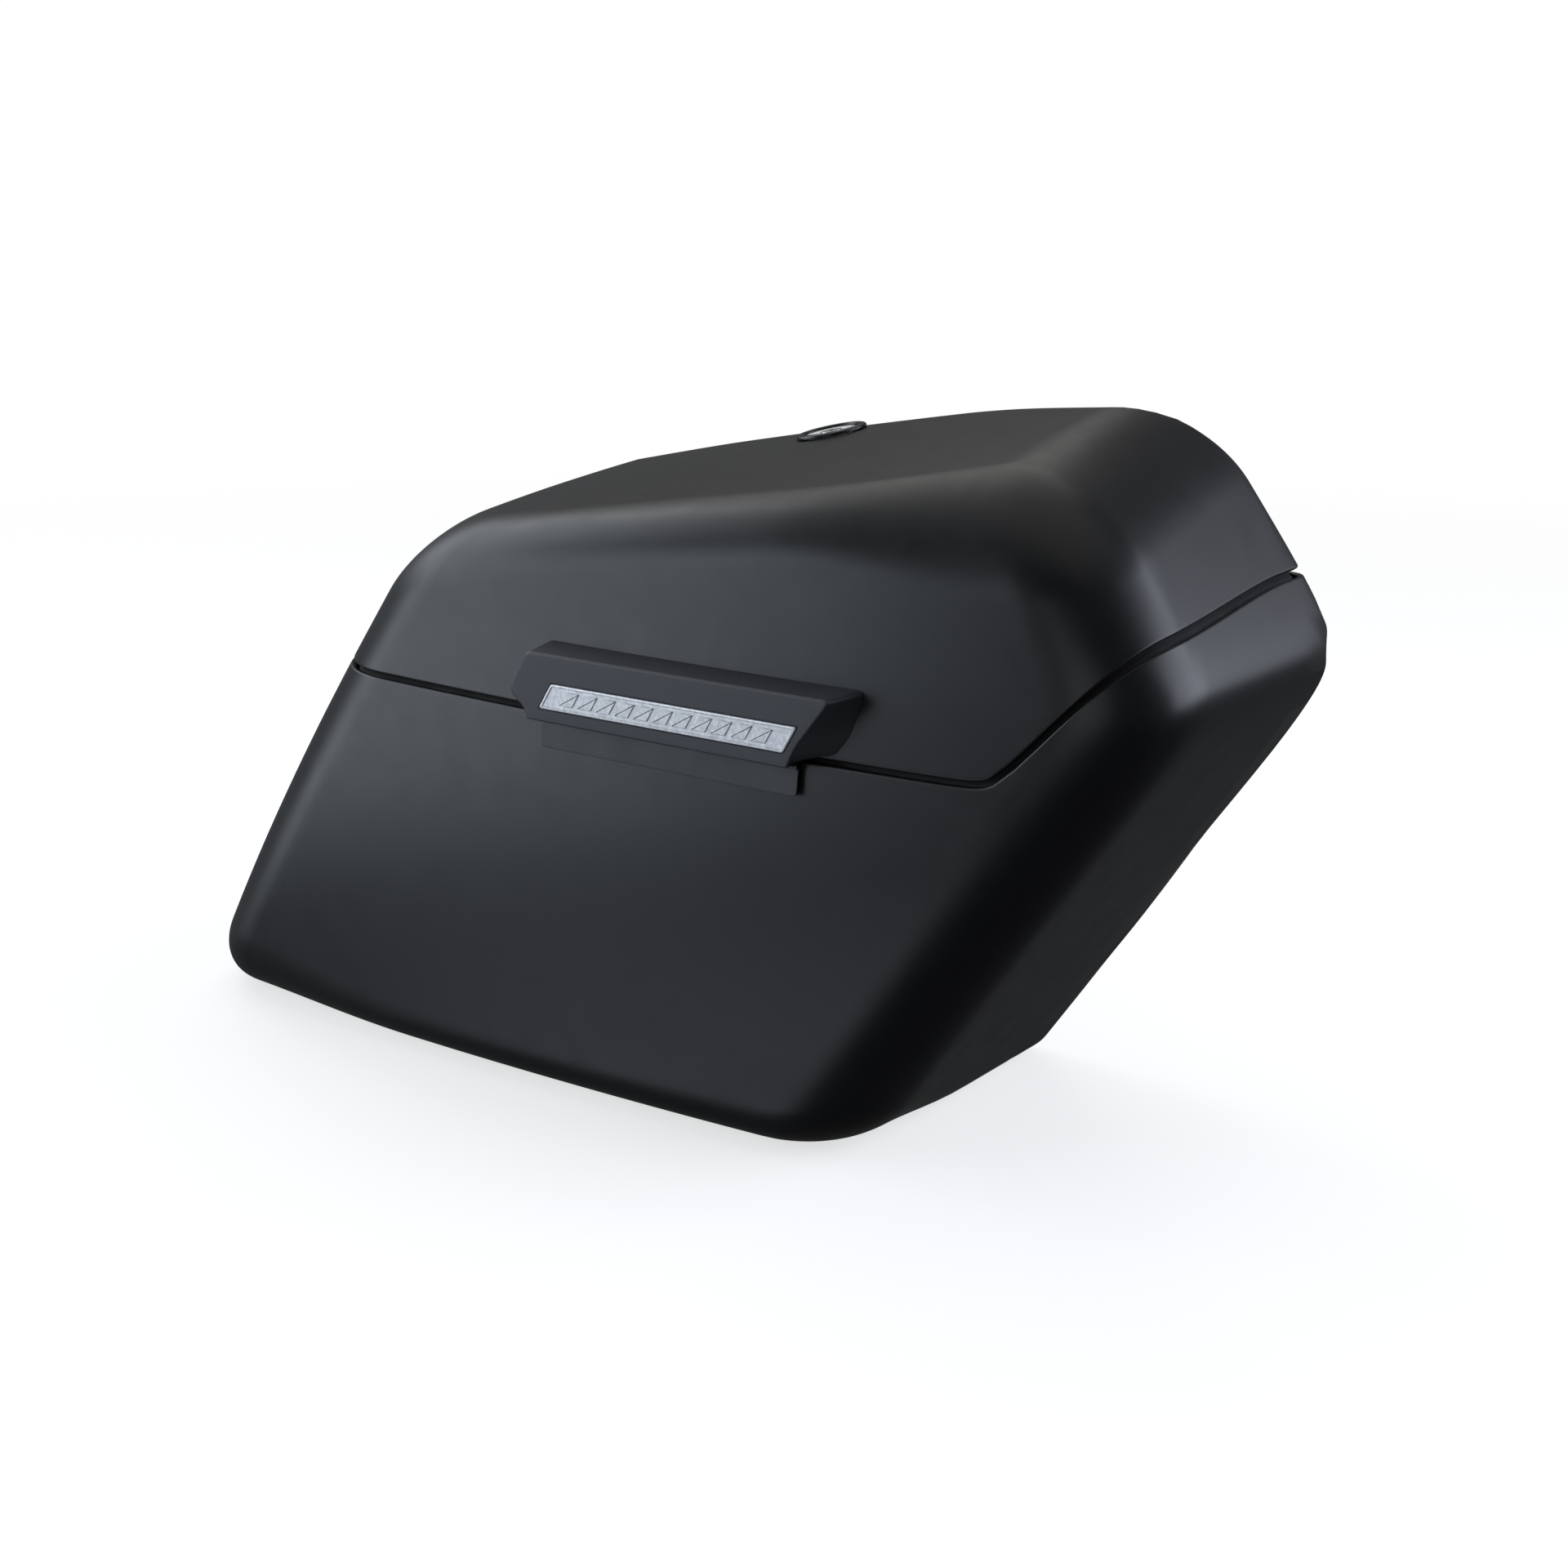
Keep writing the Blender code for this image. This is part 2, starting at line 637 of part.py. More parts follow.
def leaf_outline(z_range):
    """Section of a leaf lying on the outer face."""
    middle = 0.5 * (LEAF_X[0] + LEAF_X[1])
    low, high = [(face_y(middle - 0.02, z) - CLEARANCE, z) for z in z_range]
    tilt = math.atan2(high[0] - low[0], high[1] - low[1])
    out = Vector((-math.cos(tilt), math.sin(tilt))) * LEAF_T
    return low, high, (high[0] + out.x, high[1] + out.y), (low[0] + out.x, low[1] + out.y)


def hinge_leaf(name, z_range, first, parent, web_z, web_depth, screw_z, screw_r):
    """Hinge leaf with its knuckles and the webs that join them."""
    spans = knuckle_spans()[first::2]
    leaf = add_piece(name, outline_mesh(leaf_outline(z_range), LEAF_X[0], LEAF_X[1], 0, name), STEEL, parent, False)
    rolls = [rod_mesh((low, HINGE_Y, HINGE_Z), (high, HINGE_Y, HINGE_Z), KNUCKLE_R, 12) for low, high in spans]
    combine(leaf, join_meshes(f"{name}_rolls", rolls), "UNION")
    webs = [box_mesh((low, HINGE_Y + 0.0012, web_z[0]), (high, HINGE_Y + web_depth, web_z[1])) for low, high in spans]
    combine(leaf, join_meshes(f"{name}_webs", webs), "UNION")
    cuts = [rod_mesh((LEAF_X[0] - 0.01, HINGE_Y, HINGE_Z), (LEAF_X[1] + 0.01, HINGE_Y, HINGE_Z), PIN_R + CLEARANCE, 10)]
    cuts += [rod_mesh((x, -0.12, screw_z), (x, -0.08, screw_z), screw_r, 8) for x in HINGE_SCREW_X]
    combine(leaf, join_meshes(f"{name}_cuts", cuts), "DIFFERENCE")


def build_hinge(case, lid):
    """Piano hinge under the cover: two leaves, the pin and the screws."""
    hinge_leaf("hinge_base_leaf", BASE_LEAF_Z, 0, case, (0.2030, HINGE_Z), 0.0034, BASE_SCREW_Z, 0.0017)
    hinge_leaf("hinge_lid_leaf", LID_LEAF_Z, 1, lid, (HINGE_Z, 0.2140), 0.0045, LID_SCREW_Z, 0.0019)
    start = (LEAF_X[0] - 0.0005, HINGE_Y, HINGE_Z)
    end = (LEAF_X[1] + 0.0005, HINGE_Y, HINGE_Z)
    add_piece("hinge_pin", rod_mesh(start, end, PIN_R, 10, "hinge_pin"), BRIGHT, case)
    for number, x in enumerate(HINGE_SCREW_X, 1):
        head = face_y(x, BASE_SCREW_Z) + WALL + 0.0008
        screw = screw_mesh((x, head, BASE_SCREW_Z), (0, -1, 0), 0.0028, 0.0018, 0.0014, WALL + 0.0018, 8)
        add_piece(f"hinge_base_screw_{number}", screw, BRIGHT, case)
        head = face_y(0.026, LID_SCREW_Z) - LEAF_T - 0.0011
        screw = screw_mesh((x, head, LID_SCREW_Z), (0, 1, 0), 0.0030, 0.0018, 0.0014, 0.008, 8)
        add_piece(f"hinge_lid_screw_{number}", screw, BRIGHT, lid)


def cover_grid(rows, depth):
    """Grid of points between the left and right edges of each row of the cover."""
    grid = []
    for z, left, right in rows:
        spots = [left + (right - left) * index / COVER_COLUMNS for index in range(COVER_COLUMNS + 1)]
        grid.append([(x, depth(x, z), z) for x in spots])
    return grid


def build_cover(lid):
    """Hinge cover with its bevelled ends, hollow over the hinge, and the plate let into its face."""
    mesh = bmesh.new()
    sheets = []
    for points in (cover_grid(COVER_FACE, lambda x, z: COVER_FACE_Y),
                   cover_grid(COVER_FOOT, lambda x, z: face_y(x, z) - CLEARANCE)):
        sheets.append([[mesh.verts.new(point) for point in row] for row in points])
    face, foot = sheets
    for sheet in sheets:
        for lower, upper in zip(sheet, sheet[1:]):
            for index in range(COVER_COLUMNS):
                mesh.faces.new((lower[index], lower[index + 1], upper[index + 1], upper[index]))
    edge_face = outline_of(face)
    edge_foot = outline_of(foot)
    for index in range(len(edge_face)):
        after = (index + 1) % len(edge_face)
        mesh.faces.new((edge_face[index], edge_face[after], edge_foot[after], edge_foot[index]))
    bmesh.ops.recalc_face_normals(mesh, faces=mesh.faces)
    cover = add_piece("hinge_cover", finish_mesh(mesh, "hinge_cover"), COVER, lid)
    inner_y = COVER_FACE_Y + COVER_WALL
    left, right = LEAF_X[0] - 0.0015, LEAF_X[1] + 0.0015
    lip = box_mesh((left, COVER_FACE_Y + 0.0001, COVER_LIP_Z), (right, inner_y + 0.0005, 0.2150))
    combine(cover, lip, "UNION")
    hollow = [box_mesh((left, inner_y, 0.2000), (right, -0.0850, COVER_FACE[-1][0] - COVER_WALL))]
    hollow += [rod_mesh((x, -0.1060, z), (x, -0.08, z), 0.0017, 8) for x, z in COVER_SCREWS]
    hollow.append(outline_mesh(PLATE_CORNERS, COVER_FACE_Y - 0.001, COVER_FACE_Y + PLATE_POCKET, 1))
    combine(cover, join_meshes("cover_hollow", hollow), "DIFFERENCE")
    for number, (x, z) in enumerate(COVER_SCREWS, 1):
        head = face_y(x, z) + WALL + 0.0014
        screw = screw_mesh((x, head, z), (0, -1, 0), 0.0030, 0.0018, 0.0014, 0.0100, 8)
        add_piece(f"cover_screw_{number}", screw, BRIGHT, lid)
    plate = inset_outline(PLATE_CORNERS, 0.0005)
    back = COVER_FACE_Y + PLATE_POCKET - CLEARANCE
    badge = add_piece("nameplate", outline_mesh(plate, back - PLATE_T, back, 1, "nameplate"), SILVER, lid, False)
    bevel(badge, 0.0004)


def outline_of(sheet):
    """Verts around the edge of a grid."""
    right = [row[-1] for row in sheet[1:]]
    top = sheet[-1][-2::-1]
    left = [row[0] for row in sheet[-2:0:-1]]
    return sheet[0] + right + top + left


def inset_outline(corners, distance):
    """Convex outline moved in by a distance."""
    moved = []
    count = len(corners)
    for index in range(count):
        before, here, after = (Vector(corners[(index + step) % count]) for step in (-1, 0, 1))
        into = (here - before).normalized()
        out = (after - here).normalized()
        normal_in = Vector((-into.y, into.x))
        normal_out = Vector((-out.y, out.x))
        moved.append(tuple(here + (normal_in + normal_out) * (distance / (1.0 + normal_in.dot(normal_out)))))
    return moved


def lock_place():
    """Point on top of the lid at the lock, and the normal there."""
    start = np.array([[LOCK_X, LOCK_Y, 0.280]])
    point = surface_points(start, np.array([[0.0, 0.0, 1.0]]))
    normal = surface_normals(point)
    return Vector(point[0]), Vector(normal[0])


def build_lock(lid, button, key):
    """Push-button lock: bezel, housing, nut, button, return spring and key plug."""
    point, normal = lock_place()
    place = place_at(point, normal)
    bezel = (
        (0.0149, 0.0004), (0.0192, 0.0004), (0.0194, 0.0014), (0.0188, 0.0022),
        (0.0174, 0.0026), (0.0158, 0.0026), (0.0149, 0.0018),
    )
    add_piece("lock_bezel", turned_mesh(bezel, place, 32), BRIGHT_BLACK, lid)
    housing = ((0.0145, -0.0002), (0.0165, -0.0002), (0.0165, -0.0200), (0.0052, -0.0200), (0.0052, -0.0180),
               (0.0145, -0.0180))
    add_piece("lock_housing", turned_mesh(housing, place, 24), ZINC_PLATED, lid)
    nut = ((0.0168, -0.0055), (0.0198, -0.0055), (0.0198, -0.0100), (0.0168, -0.0100))
    add_piece("lock_nut", turned_mesh(nut, place, 24, "lock_nut"), ZINC_PLATED, lid, False)
    cap = (
        (0.0, -0.0260), (0.0047, -0.0260), (0.0047, -0.0120), (0.0142, -0.0120), (0.0142, 0.0006),
        (0.0136, 0.0012), (0.0062, 0.0013), (0.0062, -0.0095), (0.0, -0.0095),
    )
    add_piece("push_button", turned_mesh(cap, place, 32), SILVER, button)
    plug = ((0.0, -0.0092), (PLUG_R, -0.0092), (PLUG_R, 0.0012), (0.0052, 0.0017), (0.0, 0.0017))
    barrel = add_piece("key_plug", turned_mesh(plug, place, 20), BRIGHT, key)
    slot = box_mesh((-0.0038, -0.0006, -0.0012), (0.0038, 0.0006, 0.0060), "slot", place)
    combine(barrel, slot, "DIFFERENCE")
    spring_place = place @ Matrix.Translation((0.0, 0.0, -0.0172))
    coil_object("button_spring", spring_place, 0.0098, 0.0005, 3, 0.0044, BRIGHT, lid)


def build_latch(case, lid, latch):
    """Bracket and pin on the lid, the swinging hook, its spring, and the striker on the case."""
    point, normal = lock_place()
    place = place_at(point, normal)
    ring = ((0.0168, -0.0105), (0.0198, -0.0105), (0.0198, -0.0125), (0.0168, -0.0125))
    bracket = add_piece("latch_bracket", turned_mesh(ring, place, 24), ZINC_PLATED, lid, False)
    pivot = Vector(LATCH_PIVOT)
    cheeks = []
    for side in (-1.0, 1.0):
        x = pivot.x + side * CHEEK_OFFSET
        low, high = sorted((x, x + side * CHEEK_T))
        cheeks.append(outline_mesh(cheek_outline(), low, high, 0))
    combine(bracket, join_meshes("bracket_cheeks", cheeks), "UNION")
    reach = CHEEK_OFFSET + CHEEK_T + 0.002
    bore = rod_mesh(pivot - Vector((0.02, 0, 0)), pivot + Vector((0.02, 0, 0)), LATCH_PIN_R + CLEARANCE, 10)
    above = ((0.0, -0.03), (0.0168, -0.03), (0.0168, -0.0106), (0.045, -0.0106), (0.045, 0.02), (0.0, 0.02))
    combine(bracket, join_meshes("bracket_bores", [bore, turned_mesh(above, place, 24)]), "DIFFERENCE")
    pin = rod_mesh(pivot - Vector((reach, 0, 0)), pivot + Vector((reach, 0, 0)), LATCH_PIN_R, 10, "latch_pin")
    add_piece("latch_pin", pin, BRIGHT, lid)
    low, high = pivot.x - LATCH_HALF_WIDTH, pivot.x + LATCH_HALF_WIDTH
    hook = add_piece("latch_hook", outline_mesh(LATCH_OUTLINE, low, high, 0, "latch_hook"), ZINC_PLATED, latch, False)
    bearing = rod_mesh(pivot - Vector((0.01, 0, 0)), pivot + Vector((0.01, 0, 0)), LATCH_PIN_R + CLEARANCE, 10)
    combine(hook, bearing, "DIFFERENCE")
    spring_place = place_at(pivot + Vector((LATCH_HALF_WIDTH + 0.0008, 0, 0)), (1, 0, 0))
    coil_object("latch_spring", spring_place, 0.0032, 0.0004, 3, 0.0026, BRIGHT, lid)
    build_striker(case)


def cheek_outline():
    """Side of the latch bracket, from the ring down round the pivot."""
    return ((0.0640, 0.2840), (0.0800, 0.2840), (0.0960, 0.3000), (0.0985, 0.3260), (0.0660, 0.3260))


def striker_screw_x():
    """X of the striker's two screws."""
    return (STRIKER_BAR[0] - 0.017, STRIKER_BAR[0] + 0.017)


def build_striker(case):
    """Round bar on a plate inside the inner wall, which the hook catches."""
    x, y, z = STRIKER_BAR
    wall = INNER_Y - WALL - CLEARANCE
    plate = box_mesh((x - 0.022, wall - 0.002, z - 0.0085), (x + 0.022, wall, z + 0.0070), "striker")
    striker = add_piece("striker", plate, ZINC_PLATED, case, False)
    rods = [rod_mesh((x + side * STRIKER_SPAN, y, z), (x + side * STRIKER_SPAN, wall - 0.0005, z), STRIKER_R, 10)
            for side in (-1.0, 1.0)]
    combine(striker, join_meshes("striker_legs", rods), "UNION")
    bar = rod_mesh((x - STRIKER_SPAN - STRIKER_R, y, z), (x + STRIKER_SPAN + STRIKER_R, y, z), STRIKER_R, 10)
    combine(striker, bar, "UNION")
    holes = [rod_mesh((spot, 0.09, z), (spot, 0.12, z), 0.0018, 8) for spot in striker_screw_x()]
    combine(striker, join_meshes("striker_holes", holes), "DIFFERENCE")
    for number, spot in enumerate(striker_screw_x(), 1):
        screw = screw_mesh((spot, wall - 0.002 - CLEARANCE, z), (0, 1, 0), 0.0032, 0.0020, 0.0014, 0.0058, 8)
        add_piece(f"striker_screw_{number}", screw, BRIGHT, case)


def build_mounting(case):
    """Backing plate inside, bolts and washers through the inner wall, rubber spacers outside."""
    spots = MOUNT_LOW + MOUNT_HIGH
    wall = INNER_Y - WALL - CLEARANCE
    outline = inset_outline((MOUNT_LOW[0], MOUNT_LOW[1], MOUNT_HIGH[1], MOUNT_HIGH[0]), -PLATE_MARGIN)
    plate = add_piece("backing_plate", outline_mesh(outline, wall - BACKING_T, wall, 1, "backing_plate"), STEEL, case,
                      False)
    bores = [rod_mesh((x, 0.09, z), (x, 0.12, z), BOLT_R + BORE) for x, z in spots]
    combine(plate, join_meshes("plate_bores", bores), "DIFFERENCE")
    seat = wall - BACKING_T - CLEARANCE
    for number, (x, z) in enumerate(spots, 1):
        inner_r = BOLT_R + BORE
        ring = ((inner_r, 0.0), (WASHER_R, 0.0), (WASHER_R, WASHER_T), (inner_r, WASHER_T))
        washer = turned_mesh(ring, place_at((x, seat, z), (0, -1, 0)), 16)
        add_piece(f"mounting_washer_{number}", washer, ZINC_PLATED, case)
        head = seat - WASHER_T - CLEARANCE
        length = INNER_Y + SPACER_T + BOLT_OUT - head
        bolt = screw_mesh((x, head, z), (0, 1, 0), 0.0075, 0.0042, BOLT_R, length, 12)
        add_piece(f"mounting_bolt_{number}", bolt, ZINC_PLATED, case)
        cushion = ((inner_r, 0.0), (SPACER_R, 0.0), (SPACER_R, SPACER_T), (inner_r, SPACER_T))
        spacer = turned_mesh(cushion, place_at((x, INNER_Y + CLEARANCE, z), (0, 1, 0)), 20)
        add_piece(f"mounting_spacer_{number}", spacer, SOFT, case)


def build_floor(case):
    """Rubber mat on the floor of the bag and the plug in its drain hole."""
    mat = add_piece("floor_mat", outline_mesh(MAT_OUTLINE, WALL + CLEARANCE, WALL + 0.0023, 2, "floor_mat"), SOFT, case,
                    False)
    opening = rod_mesh((*DRAIN, -0.01), (*DRAIN, 0.02), 0.0110, 16)
    combine(mat, opening, "DIFFERENCE")
    plug = ((0.0, 0.0003), (DRAIN_R, 0.0003), (DRAIN_R, WALL + 0.0003), (0.0095, WALL + 0.0003),
            (0.0095, WALL + 0.0015), (0.0060, WALL + 0.0035), (0.0, WALL + 0.0035))
    add_piece("drain_plug", turned_mesh(plug, Matrix.Translation((*DRAIN, 0.0)), 16), SOFT, case)


def main():
    """Build every sub-part on the empty of the body that it moves with."""
    case = add_frame("saddlebag", (0.0, 0.0, 0.0))
    lid = add_frame("lid_axis", (0.0, HINGE_Y, HINGE_Z), case)
    point, _ = lock_place()
    button = add_frame("button_axis", tuple(point), lid)
    key = add_frame("key_axis", tuple(point), button)
    latch = add_frame("latch_axis", LATCH_PIVOT, lid)
    build_shells(case, lid)
    build_seal(case)
    build_hinge(case, lid)
    build_cover(lid)
    build_lock(lid, button, key)
    build_latch(case, lid, latch)
    build_mounting(case)
    build_floor(case)


clear_scene()
PARTS = new_collection("saddlebag")
TOOLS = new_collection("cutters")
SHELL = material("satin_black_shell", BLACK_SHELL)
COVER = material("satin_black_cover", BLACK_COVER)
STEEL = material("black_steel", BLACK_STEEL)
BRIGHT_BLACK = material("black_bezel", BLACK_STEEL)
SOFT = material("black_rubber", RUBBER)
SILVER = material("cast_silver", CAST_SILVER)
ZINC_PLATED = material("zinc_plated_steel", ZINC)
BRIGHT = material("bright_steel", ZINC)
main()
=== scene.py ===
"""Looks of the hard saddlebag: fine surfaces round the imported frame, materials, light and camera."""

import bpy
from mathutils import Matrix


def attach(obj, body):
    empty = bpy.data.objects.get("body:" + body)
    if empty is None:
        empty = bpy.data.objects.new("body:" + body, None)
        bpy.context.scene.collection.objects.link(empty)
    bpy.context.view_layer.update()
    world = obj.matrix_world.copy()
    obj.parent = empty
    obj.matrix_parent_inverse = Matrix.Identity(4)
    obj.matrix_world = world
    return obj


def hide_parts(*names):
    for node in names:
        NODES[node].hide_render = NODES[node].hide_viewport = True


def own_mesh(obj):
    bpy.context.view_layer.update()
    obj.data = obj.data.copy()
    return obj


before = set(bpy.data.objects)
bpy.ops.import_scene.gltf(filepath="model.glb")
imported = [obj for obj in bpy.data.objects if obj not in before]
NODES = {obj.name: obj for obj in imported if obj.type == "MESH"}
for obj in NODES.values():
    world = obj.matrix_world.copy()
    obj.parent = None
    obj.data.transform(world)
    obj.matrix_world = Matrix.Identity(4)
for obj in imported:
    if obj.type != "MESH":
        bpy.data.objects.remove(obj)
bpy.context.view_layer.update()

import math

import bmesh
import bpy
import numpy as np
from mathutils import Matrix, Vector

FRAME_SHIFT = Vector((0.0099, -0.0045, 0.0))

# Outer form, as in the CAD source (metres, before FRAME_SHIFT).
FRONT_END_X, FRONT_END_RAKE = -0.338, 0.610
REAR_END_X, REAR_END_RAKE = 0.143, 0.698
REAR_TOP_X, REAR_TOP_RAKE, REAR_BEND = 0.507, 0.770, 0.014
BELLY_Y, BELLY_Z, BELLY_CURVE, BELLY_CROWN, CROWN_HALF_LENGTH = -0.108, 0.085, 0.58, 0.011, 0.25
INNER_Y = 0.109
TOP_Z, TOP_RISE_X, TOP_RISE_Y, TOP_TWIST, TOP_SAG, TOP_CROWN = 0.3175, 0.161, 0.140, 0.2, 0.0033, 0.003
CORNER_REAR, CORNER_FRONT, CORNER_INNER = 0.042, 0.046, 0.014
SHOULDER_OUTER, SHOULDER_INNER, SHOULDER_REAR, SHOULDER_FRONT = 0.027, 0.014, 0.048, 0.033
FOOT_OUTER, FOOT_INNER, FOOT_FRONT, FOOT_FLATNESS = 0.021, 0.009, 0.029, 0.75

# Shells.
WALL, SEAM_GAP, RIM_ROUND = 0.0035, 0.0028, 0.0011
REAR_GAP, REAR_GAP_X, REAR_GAP_RAMP = 0.0020, 0.265, 0.030
SEAM_Z, SEAM_CORNER_X, SEAM_CORNER_ROUND = 0.208, 0.226, 0.007
SEAM_DIAGONAL, SEAM_DIAGONAL_TOP = 1.12, 0.279
SEAM_INNER_Z, SEAM_INNER_RISE, SEAM_BLEND_Y = 0.250, 0.125, 0.085
SEAM_SPINE = ((-0.150, 0.0, 0.0), (0.226, 0.0, 0.0))
FOOT_SPINE = ((-0.250, 0.0, 0.0), (0.090, 0.0, 0.0))
FOOT_RING_Z = 0.030
SHOULDER_SPINE = ((-0.125, 0.0, 0.0), (0.185, 0.0, 0.0))
SHOULDER_RING_DROP = 0.030
CASE_SPINE = ((-0.215, 0.0, 0.115), (0.150, 0.0, 0.140))
CASE_POLES = ((-0.240, 0.0, 0.0), (0.090, 0.0, 0.0))
LID_SPINE = ((-0.135, 0.0, 0.232), (0.215, 0.0, 0.262))
LID_POLES = ((-0.120, 0.0, 0.400), (0.185, 0.0, 0.400))
SPINE_COLUMNS, END_COLUMNS, SHELL_ROWS, FINE_ROWS = 110, 56, 84, 121
TURN_WEIGHT = 1.6
RIM_STEPS = 4
INNER_ROW_STEP = 3

# Hinge, cover and plate.
HINGE_Y, HINGE_Z, KNUCKLE_R, PIN_R = -0.1040, 0.2085, 0.0034, 0.0015
LEAF_X, LEAF_T, KNUCKLES, KNUCKLE_GAP = (-0.034, 0.126), 0.0013, 5, 0.0006
BASE_LEAF_Z, LEAF_SEAT_X = (0.190, 0.2045), 0.026
COVER_FACE_Y, COVER_WALL, CLEARANCE = -0.1125, 0.0025, 0.0003
COVER_FACE = ((-0.0350, 0.2060), (0.1270, 0.2060), (0.1295, 0.2120), (0.1330, 0.2180), (0.1520, 0.2420),
              (-0.0340, 0.2412), (-0.0470, 0.2195), (-0.0365, 0.2115))
COVER_FOOT = ((-0.0380, 0.2112), (0.1300, 0.2112), (0.1430, 0.2113), (0.1505, 0.2210), (0.1575, 0.2435),
              (-0.0360, 0.2432), (-0.0510, 0.2200), (-0.0430, 0.2113))
COVER_ROUND = (0.0012, 0.0012, 0.0030, 0.0030, 0.0050, 0.0030, 0.0050, 0.0030)
COVER_EDGE = 0.0012
PLATE_CORNERS = ((-0.0270, 0.2126), (0.1252, 0.2130), (0.1338, 0.2274), (-0.0178, 0.2270))
PLATE_POCKET, PLATE_T = 0.0012, 0.0014
BAR_COUNT, BAR_HALF_WIDTH, BAR_MARGIN = 11, 0.0044, 0.0034

# Lock and mounting, which is four M8 bolts.
LOCK_X, LOCK_Y = 0.0165, 0.081
LOCK_HOLE_R, PLUG_R = 0.0168, 0.0058
MOUNTS = ((-0.110, 0.100), (0.130, 0.100), (-0.070, 0.185), (0.170, 0.185))
BOLT_R, BOLT_HOLE_R, BOLT_OUT, THREAD_PITCH, THREAD_TURNS = 0.0040, 0.0044, 0.008, 0.00125, 13
BACKING_T, WASHER_R, WASHER_T, SPACER_R, SPACER_T = 0.0025, 0.011, 0.0015, 0.0140, 0.0050

# Small screws.
SCREW_R = 0.0014
HINGE_SCREW_X, BASE_SCREW_Z, LID_SCREW_Z = (-0.022, 0.021, 0.071, 0.114), 0.1935, 0.2225
COVER_SCREWS = ((-0.040, 0.225), (0.139, 0.225))
STRIKER_SCREW_X, STRIKER_Z, STRIKER_T = (-0.0005, 0.0335), 0.2340, 0.002

# Floor.
DRAIN, DRAIN_R, DRAIN_CLEAR_R = (-0.060, 0.0), 0.0060, 0.011
RIB_COUNT, RIB_START_Y, RIB_PITCH, RIB_HALF, RIB_X = 13, -0.0495, 0.0095, 0.0016, (-0.232, 0.088)
MAT_OUTLINE = ((-0.240, -0.056), (0.096, -0.056), (0.096, 0.072), (-0.240, 0.072))


def smooth_step(t):
    """Smooth ramp from 0 to 1."""
    t = np.clip(t, 0.0, 1.0)
    return t * t * (3.0 - 2.0 * t)


def round_corner(a, b, radius):
    """Distance past two faces at once, with their edge rounded."""
    u = np.maximum(a + radius, 0.0)
    v = np.maximum(b + radius, 0.0)
    return np.hypot(u, v) + np.minimum(np.maximum(a + radius, b + radius), 0.0) - radius


def front_end(z):
    """X of the raked front end wall at height z."""
    return FRONT_END_X + FRONT_END_RAKE * z


def rear_end(z):
    """X of the rear end wall: it leans out from the floor and back in above its bend."""
    lower = REAR_END_X + REAR_END_RAKE * z
    upper = REAR_TOP_X - REAR_TOP_RAKE * z
    return 0.5 * (lower + upper) - np.sqrt(0.25 * (lower - upper) ** 2 + REAR_BEND ** 2)


def outer_face(x, z):
    """Y of the bellied outer face."""
    middle = 0.5 * (front_end(z) + rear_end(z))
    crown = BELLY_CROWN * ((x - middle) / CROWN_HALF_LENGTH) ** 2
    return BELLY_Y + BELLY_CURVE * (z - BELLY_Z) ** 2 + crown


def top_face(x, y):
    """Z of the top, which rises to the rear and towards the motorcycle."""
    rise = TOP_RISE_X * x + (TOP_RISE_Y + TOP_TWIST * x) * y
    return TOP_Z + rise - TOP_SAG * ((x - 0.02) / 0.2) ** 2 + TOP_CROWN * (1.0 - (y / 0.11) ** 2)


def form(points):
    """Signed distance past the outer form, near its surface, for an array of points."""
    x, y, z = points[..., 0], points[..., 1], points[..., 2]
    front = (front_end(z) - x) / math.hypot(1.0, FRONT_END_RAKE)
    rear = (x - rear_end(z)) / math.hypot(1.0, REAR_END_RAKE)
    outer = outer_face(x, z) - y
    inner = y - INNER_Y
    sides = np.maximum.reduce([
        round_corner(outer, rear, CORNER_REAR), round_corner(outer, front, CORNER_FRONT),
        round_corner(inner, rear, CORNER_INNER), round_corner(inner, front, CORNER_INNER)])
    outward = smooth_step((0.02 - y) / 0.08)
    shoulder = SHOULDER_INNER + (SHOULDER_OUTER - SHOULDER_INNER) * outward
    shoulder = shoulder + (SHOULDER_REAR - shoulder) * smooth_step((x - 0.09) / 0.14)
    shoulder = shoulder + (SHOULDER_FRONT - shoulder) * smooth_step((-0.05 - x) / 0.11)
    upper = round_corner(sides, z - top_face(x, y), shoulder)
    foot = FOOT_INNER + (FOOT_OUTER - FOOT_INNER) * outward
    foot = foot + (FOOT_FRONT - foot) * smooth_step((-0.15 - x) / 0.14)
    return round_corner(upper, -z * FOOT_FLATNESS, foot)


def surface_points(origins, directions, reach=0.7, steps=34):
    """Where rays from inside the form meet its surface, by halving."""
    low = np.zeros(directions.shape[:-1])
    high = np.full(directions.shape[:-1], reach)
    for _ in range(steps):
        middle = 0.5 * (low + high)
        inside = form(origins + directions * middle[..., None]) < 0.0
        low = np.where(inside, middle, low)
        high = np.where(inside, high, middle)
    return origins + directions * (0.5 * (low + high))[..., None]


def surface_normals(points, step=0.00005):
    """Outward normals of the form."""
    slopes = [form(points + axis * step) - form(points - axis * step) for axis in np.eye(3)]
    normals = np.stack(slopes, axis=-1)
    return normals / np.linalg.norm(normals, axis=-1, keepdims=True)


def onto_surface(points):
    """Nearby points moved along the normal onto the form."""
    for _ in range(4):
        points = points - surface_normals(points) * form(points)[..., None]
    return points


